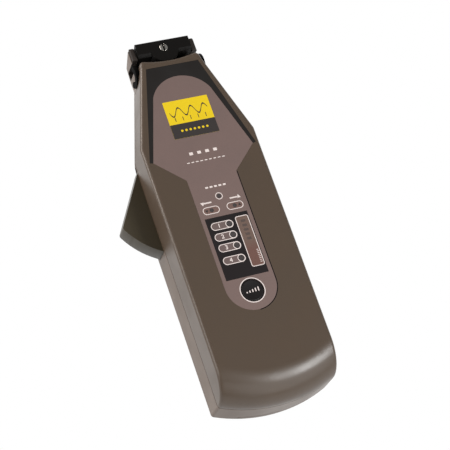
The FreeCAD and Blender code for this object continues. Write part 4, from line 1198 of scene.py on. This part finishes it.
@dataclass
class Electronics:
    """Board, lamps, chips and battery inside the case."""

    def build(self) -> None:
        """Dress the inner pieces."""
        dress(BOARD_LAMINATE, "main_board")
        dress(LAMP_PLASTIC, "lamps")
        dress(CHIP_PLASTIC, "bar_module", "tact_switch", "buzzer", "logic_chip", "amplifier_chip")
        dress(BATTERY_JACKET, "battery")
        dress(CONTACT_PLASTIC, "battery_contacts")


@dataclass(frozen=True)
class SoftLamp:
    """One soft rectangular light, in metres and watts."""

    name: str
    place: Triple
    size: Pair
    power: float
    aim: Triple = (0.0, 0.0, 0.015)
    tint: Triple = (1.0, 1.0, 1.0)


STUDIO_LAMPS = (
    SoftLamp("key_light", (-1.05, 0.10, 0.65), (0.8, 0.8), 7.5),
    SoftLamp("roll_light", (0.64, -0.52, 0.97), (0.50, 0.36), 14.0, aim=(0.64, -0.52, 0.0)),
    SoftLamp("side_light", (-0.85, 0.85, 0.25), (0.9, 0.5), 13.5, tint=(1.0, 0.92, 0.86)),
    SoftLamp("end_light", (0.40, -0.95, 0.60), (1.2, 0.9), 6.0),
)


@dataclass
class Studio:
    """White floor, world and soft lights."""

    floor_size: float = 6.0
    floor_drop: float = 0.0004
    floor_grey: float = 0.82
    world_level: float = 0.22

    def build(self) -> None:
        """Make floor, world and lights."""
        self._floor()
        self._world()
        for lamp in STUDIO_LAMPS:
            self._hang(lamp)
        bpy.context.scene.view_settings.view_transform = "Standard"

    def _floor(self) -> None:
        """Pale floor that shows as plain white."""
        bm = bmesh.new()
        place = Matrix.Translation((0.0, 0.0, -self.floor_drop))
        bmesh.ops.create_grid(bm, x_segments=2, y_segments=2, size=0.5 * self.floor_size, matrix=place)
        mesh = bpy.data.meshes.new("floor")
        bm.to_mesh(mesh)
        bm.free()
        mesh.materials.append(self._floor_material())
        floor = bpy.data.objects.new("floor", mesh)
        bpy.context.scene.collection.objects.link(floor)

    def _floor_material(self) -> bpy.types.Material:
        """Diffuse floor, white to the camera and in reflections, clear from below.

        Returns:
            The floor's material.
        """
        made = bpy.data.materials.new("floor_white")
        made.use_nodes = True
        nodes, link = made.node_tree.nodes, made.node_tree.links.new
        nodes.clear()
        matt = nodes.new("ShaderNodeBsdfDiffuse")
        matt.inputs["Color"].default_value = (self.floor_grey,) * 3 + (1.0,)
        glow = nodes.new("ShaderNodeEmission")
        clear = nodes.new("ShaderNodeBsdfTransparent")
        path = nodes.new("ShaderNodeLightPath")
        either = nodes.new("ShaderNodeMath")
        either.operation = "MAXIMUM"
        link(path.outputs["Is Camera Ray"], either.inputs[0])
        link(path.outputs["Is Glossy Ray"], either.inputs[1])
        seen = nodes.new("ShaderNodeMixShader")
        link(either.outputs[0], seen.inputs["Fac"])
        link(matt.outputs[0], seen.inputs[1])
        link(glow.outputs[0], seen.inputs[2])
        side = nodes.new("ShaderNodeMixShader")
        link(nodes.new("ShaderNodeNewGeometry").outputs["Backfacing"], side.inputs["Fac"])
        link(seen.outputs[0], side.inputs[1])
        link(clear.outputs[0], side.inputs[2])
        link(side.outputs[0], nodes.new("ShaderNodeOutputMaterial").inputs["Surface"])
        return made

    def _world(self) -> None:
        """White world to the camera, grey as a light."""
        world = bpy.data.worlds.new("studio")
        bpy.context.scene.world = world
        world.use_nodes = True
        nodes, link = world.node_tree.nodes, world.node_tree.links.new
        nodes.clear()
        soft = nodes.new("ShaderNodeBackground")
        soft.inputs["Strength"].default_value = self.world_level
        white = nodes.new("ShaderNodeBackground")
        for shader in (soft, white):
            shader.inputs["Color"].default_value = (1.0, 1.0, 1.0, 1.0)
        mix = nodes.new("ShaderNodeMixShader")
        link(nodes.new("ShaderNodeLightPath").outputs["Is Camera Ray"], mix.inputs["Fac"])
        link(soft.outputs[0], mix.inputs[1])
        link(white.outputs[0], mix.inputs[2])
        link(mix.outputs[0], nodes.new("ShaderNodeOutputWorld").inputs["Surface"])

    def _hang(self, lamp: SoftLamp) -> None:
        """Hang one light.

        Args:
            lamp: Its place, size, power, aim and tint.
        """
        data = bpy.data.lights.new(lamp.name, "AREA")
        data.shape, data.energy, data.color = "RECTANGLE", lamp.power, lamp.tint
        data.size, data.size_y = lamp.size
        made = bpy.data.objects.new(lamp.name, data)
        aim = Vector(lamp.aim) - Vector(lamp.place)
        made.location = lamp.place
        made.rotation_euler = aim.to_track_quat("-Z", "Y").to_euler()
        bpy.context.scene.collection.objects.link(made)


@dataclass
class PhotoCamera:
    """Camera fitted to the photo."""

    place: Triple = (-0.25684, -0.25666, 0.70850)
    right: Triple = (0.92026463, -0.31742562, 0.22880994)
    down: Triple = (-0.20612001, -0.89028814, -0.40608073)
    ahead: Triple = (0.33260721, 0.32653942, -0.88472846)
    lens: float = 128.0
    sensor: float = 36.0
    clip: Pair = (0.05, 20.0)

    def build(self) -> None:
        """Make the camera and pick it for the scene."""
        data = bpy.data.cameras.new("photo_camera")
        data.lens, data.sensor_width = self.lens, self.sensor
        data.clip_start, data.clip_end = self.clip
        camera = bpy.data.objects.new("photo_camera", data)
        axes = Matrix((self.right, -Vector(self.down), -Vector(self.ahead))).transposed()
        camera.matrix_world = Matrix.Translation(self.place) @ axes.to_4x4()
        bpy.context.scene.collection.objects.link(camera)
        bpy.context.scene.camera = camera


def main() -> None:
    """Build the hand tester, its studio and its camera."""
    logging.basicConfig(level=logging.INFO, format="%(name)s: %(message)s")
    tester = (
        CaseShells(), ControlPanel(), DisplayWindow(), IndicatorLenses(), AdjustButton(), FrontLabel(),
        FibreHead(), SqueezeTrigger(), Electronics())
    for part in (*tester, Studio(), PhotoCamera()):
        LOG.info("building %s", type(part).__name__)
        part.build()


if __name__ == "__main__":
    main()
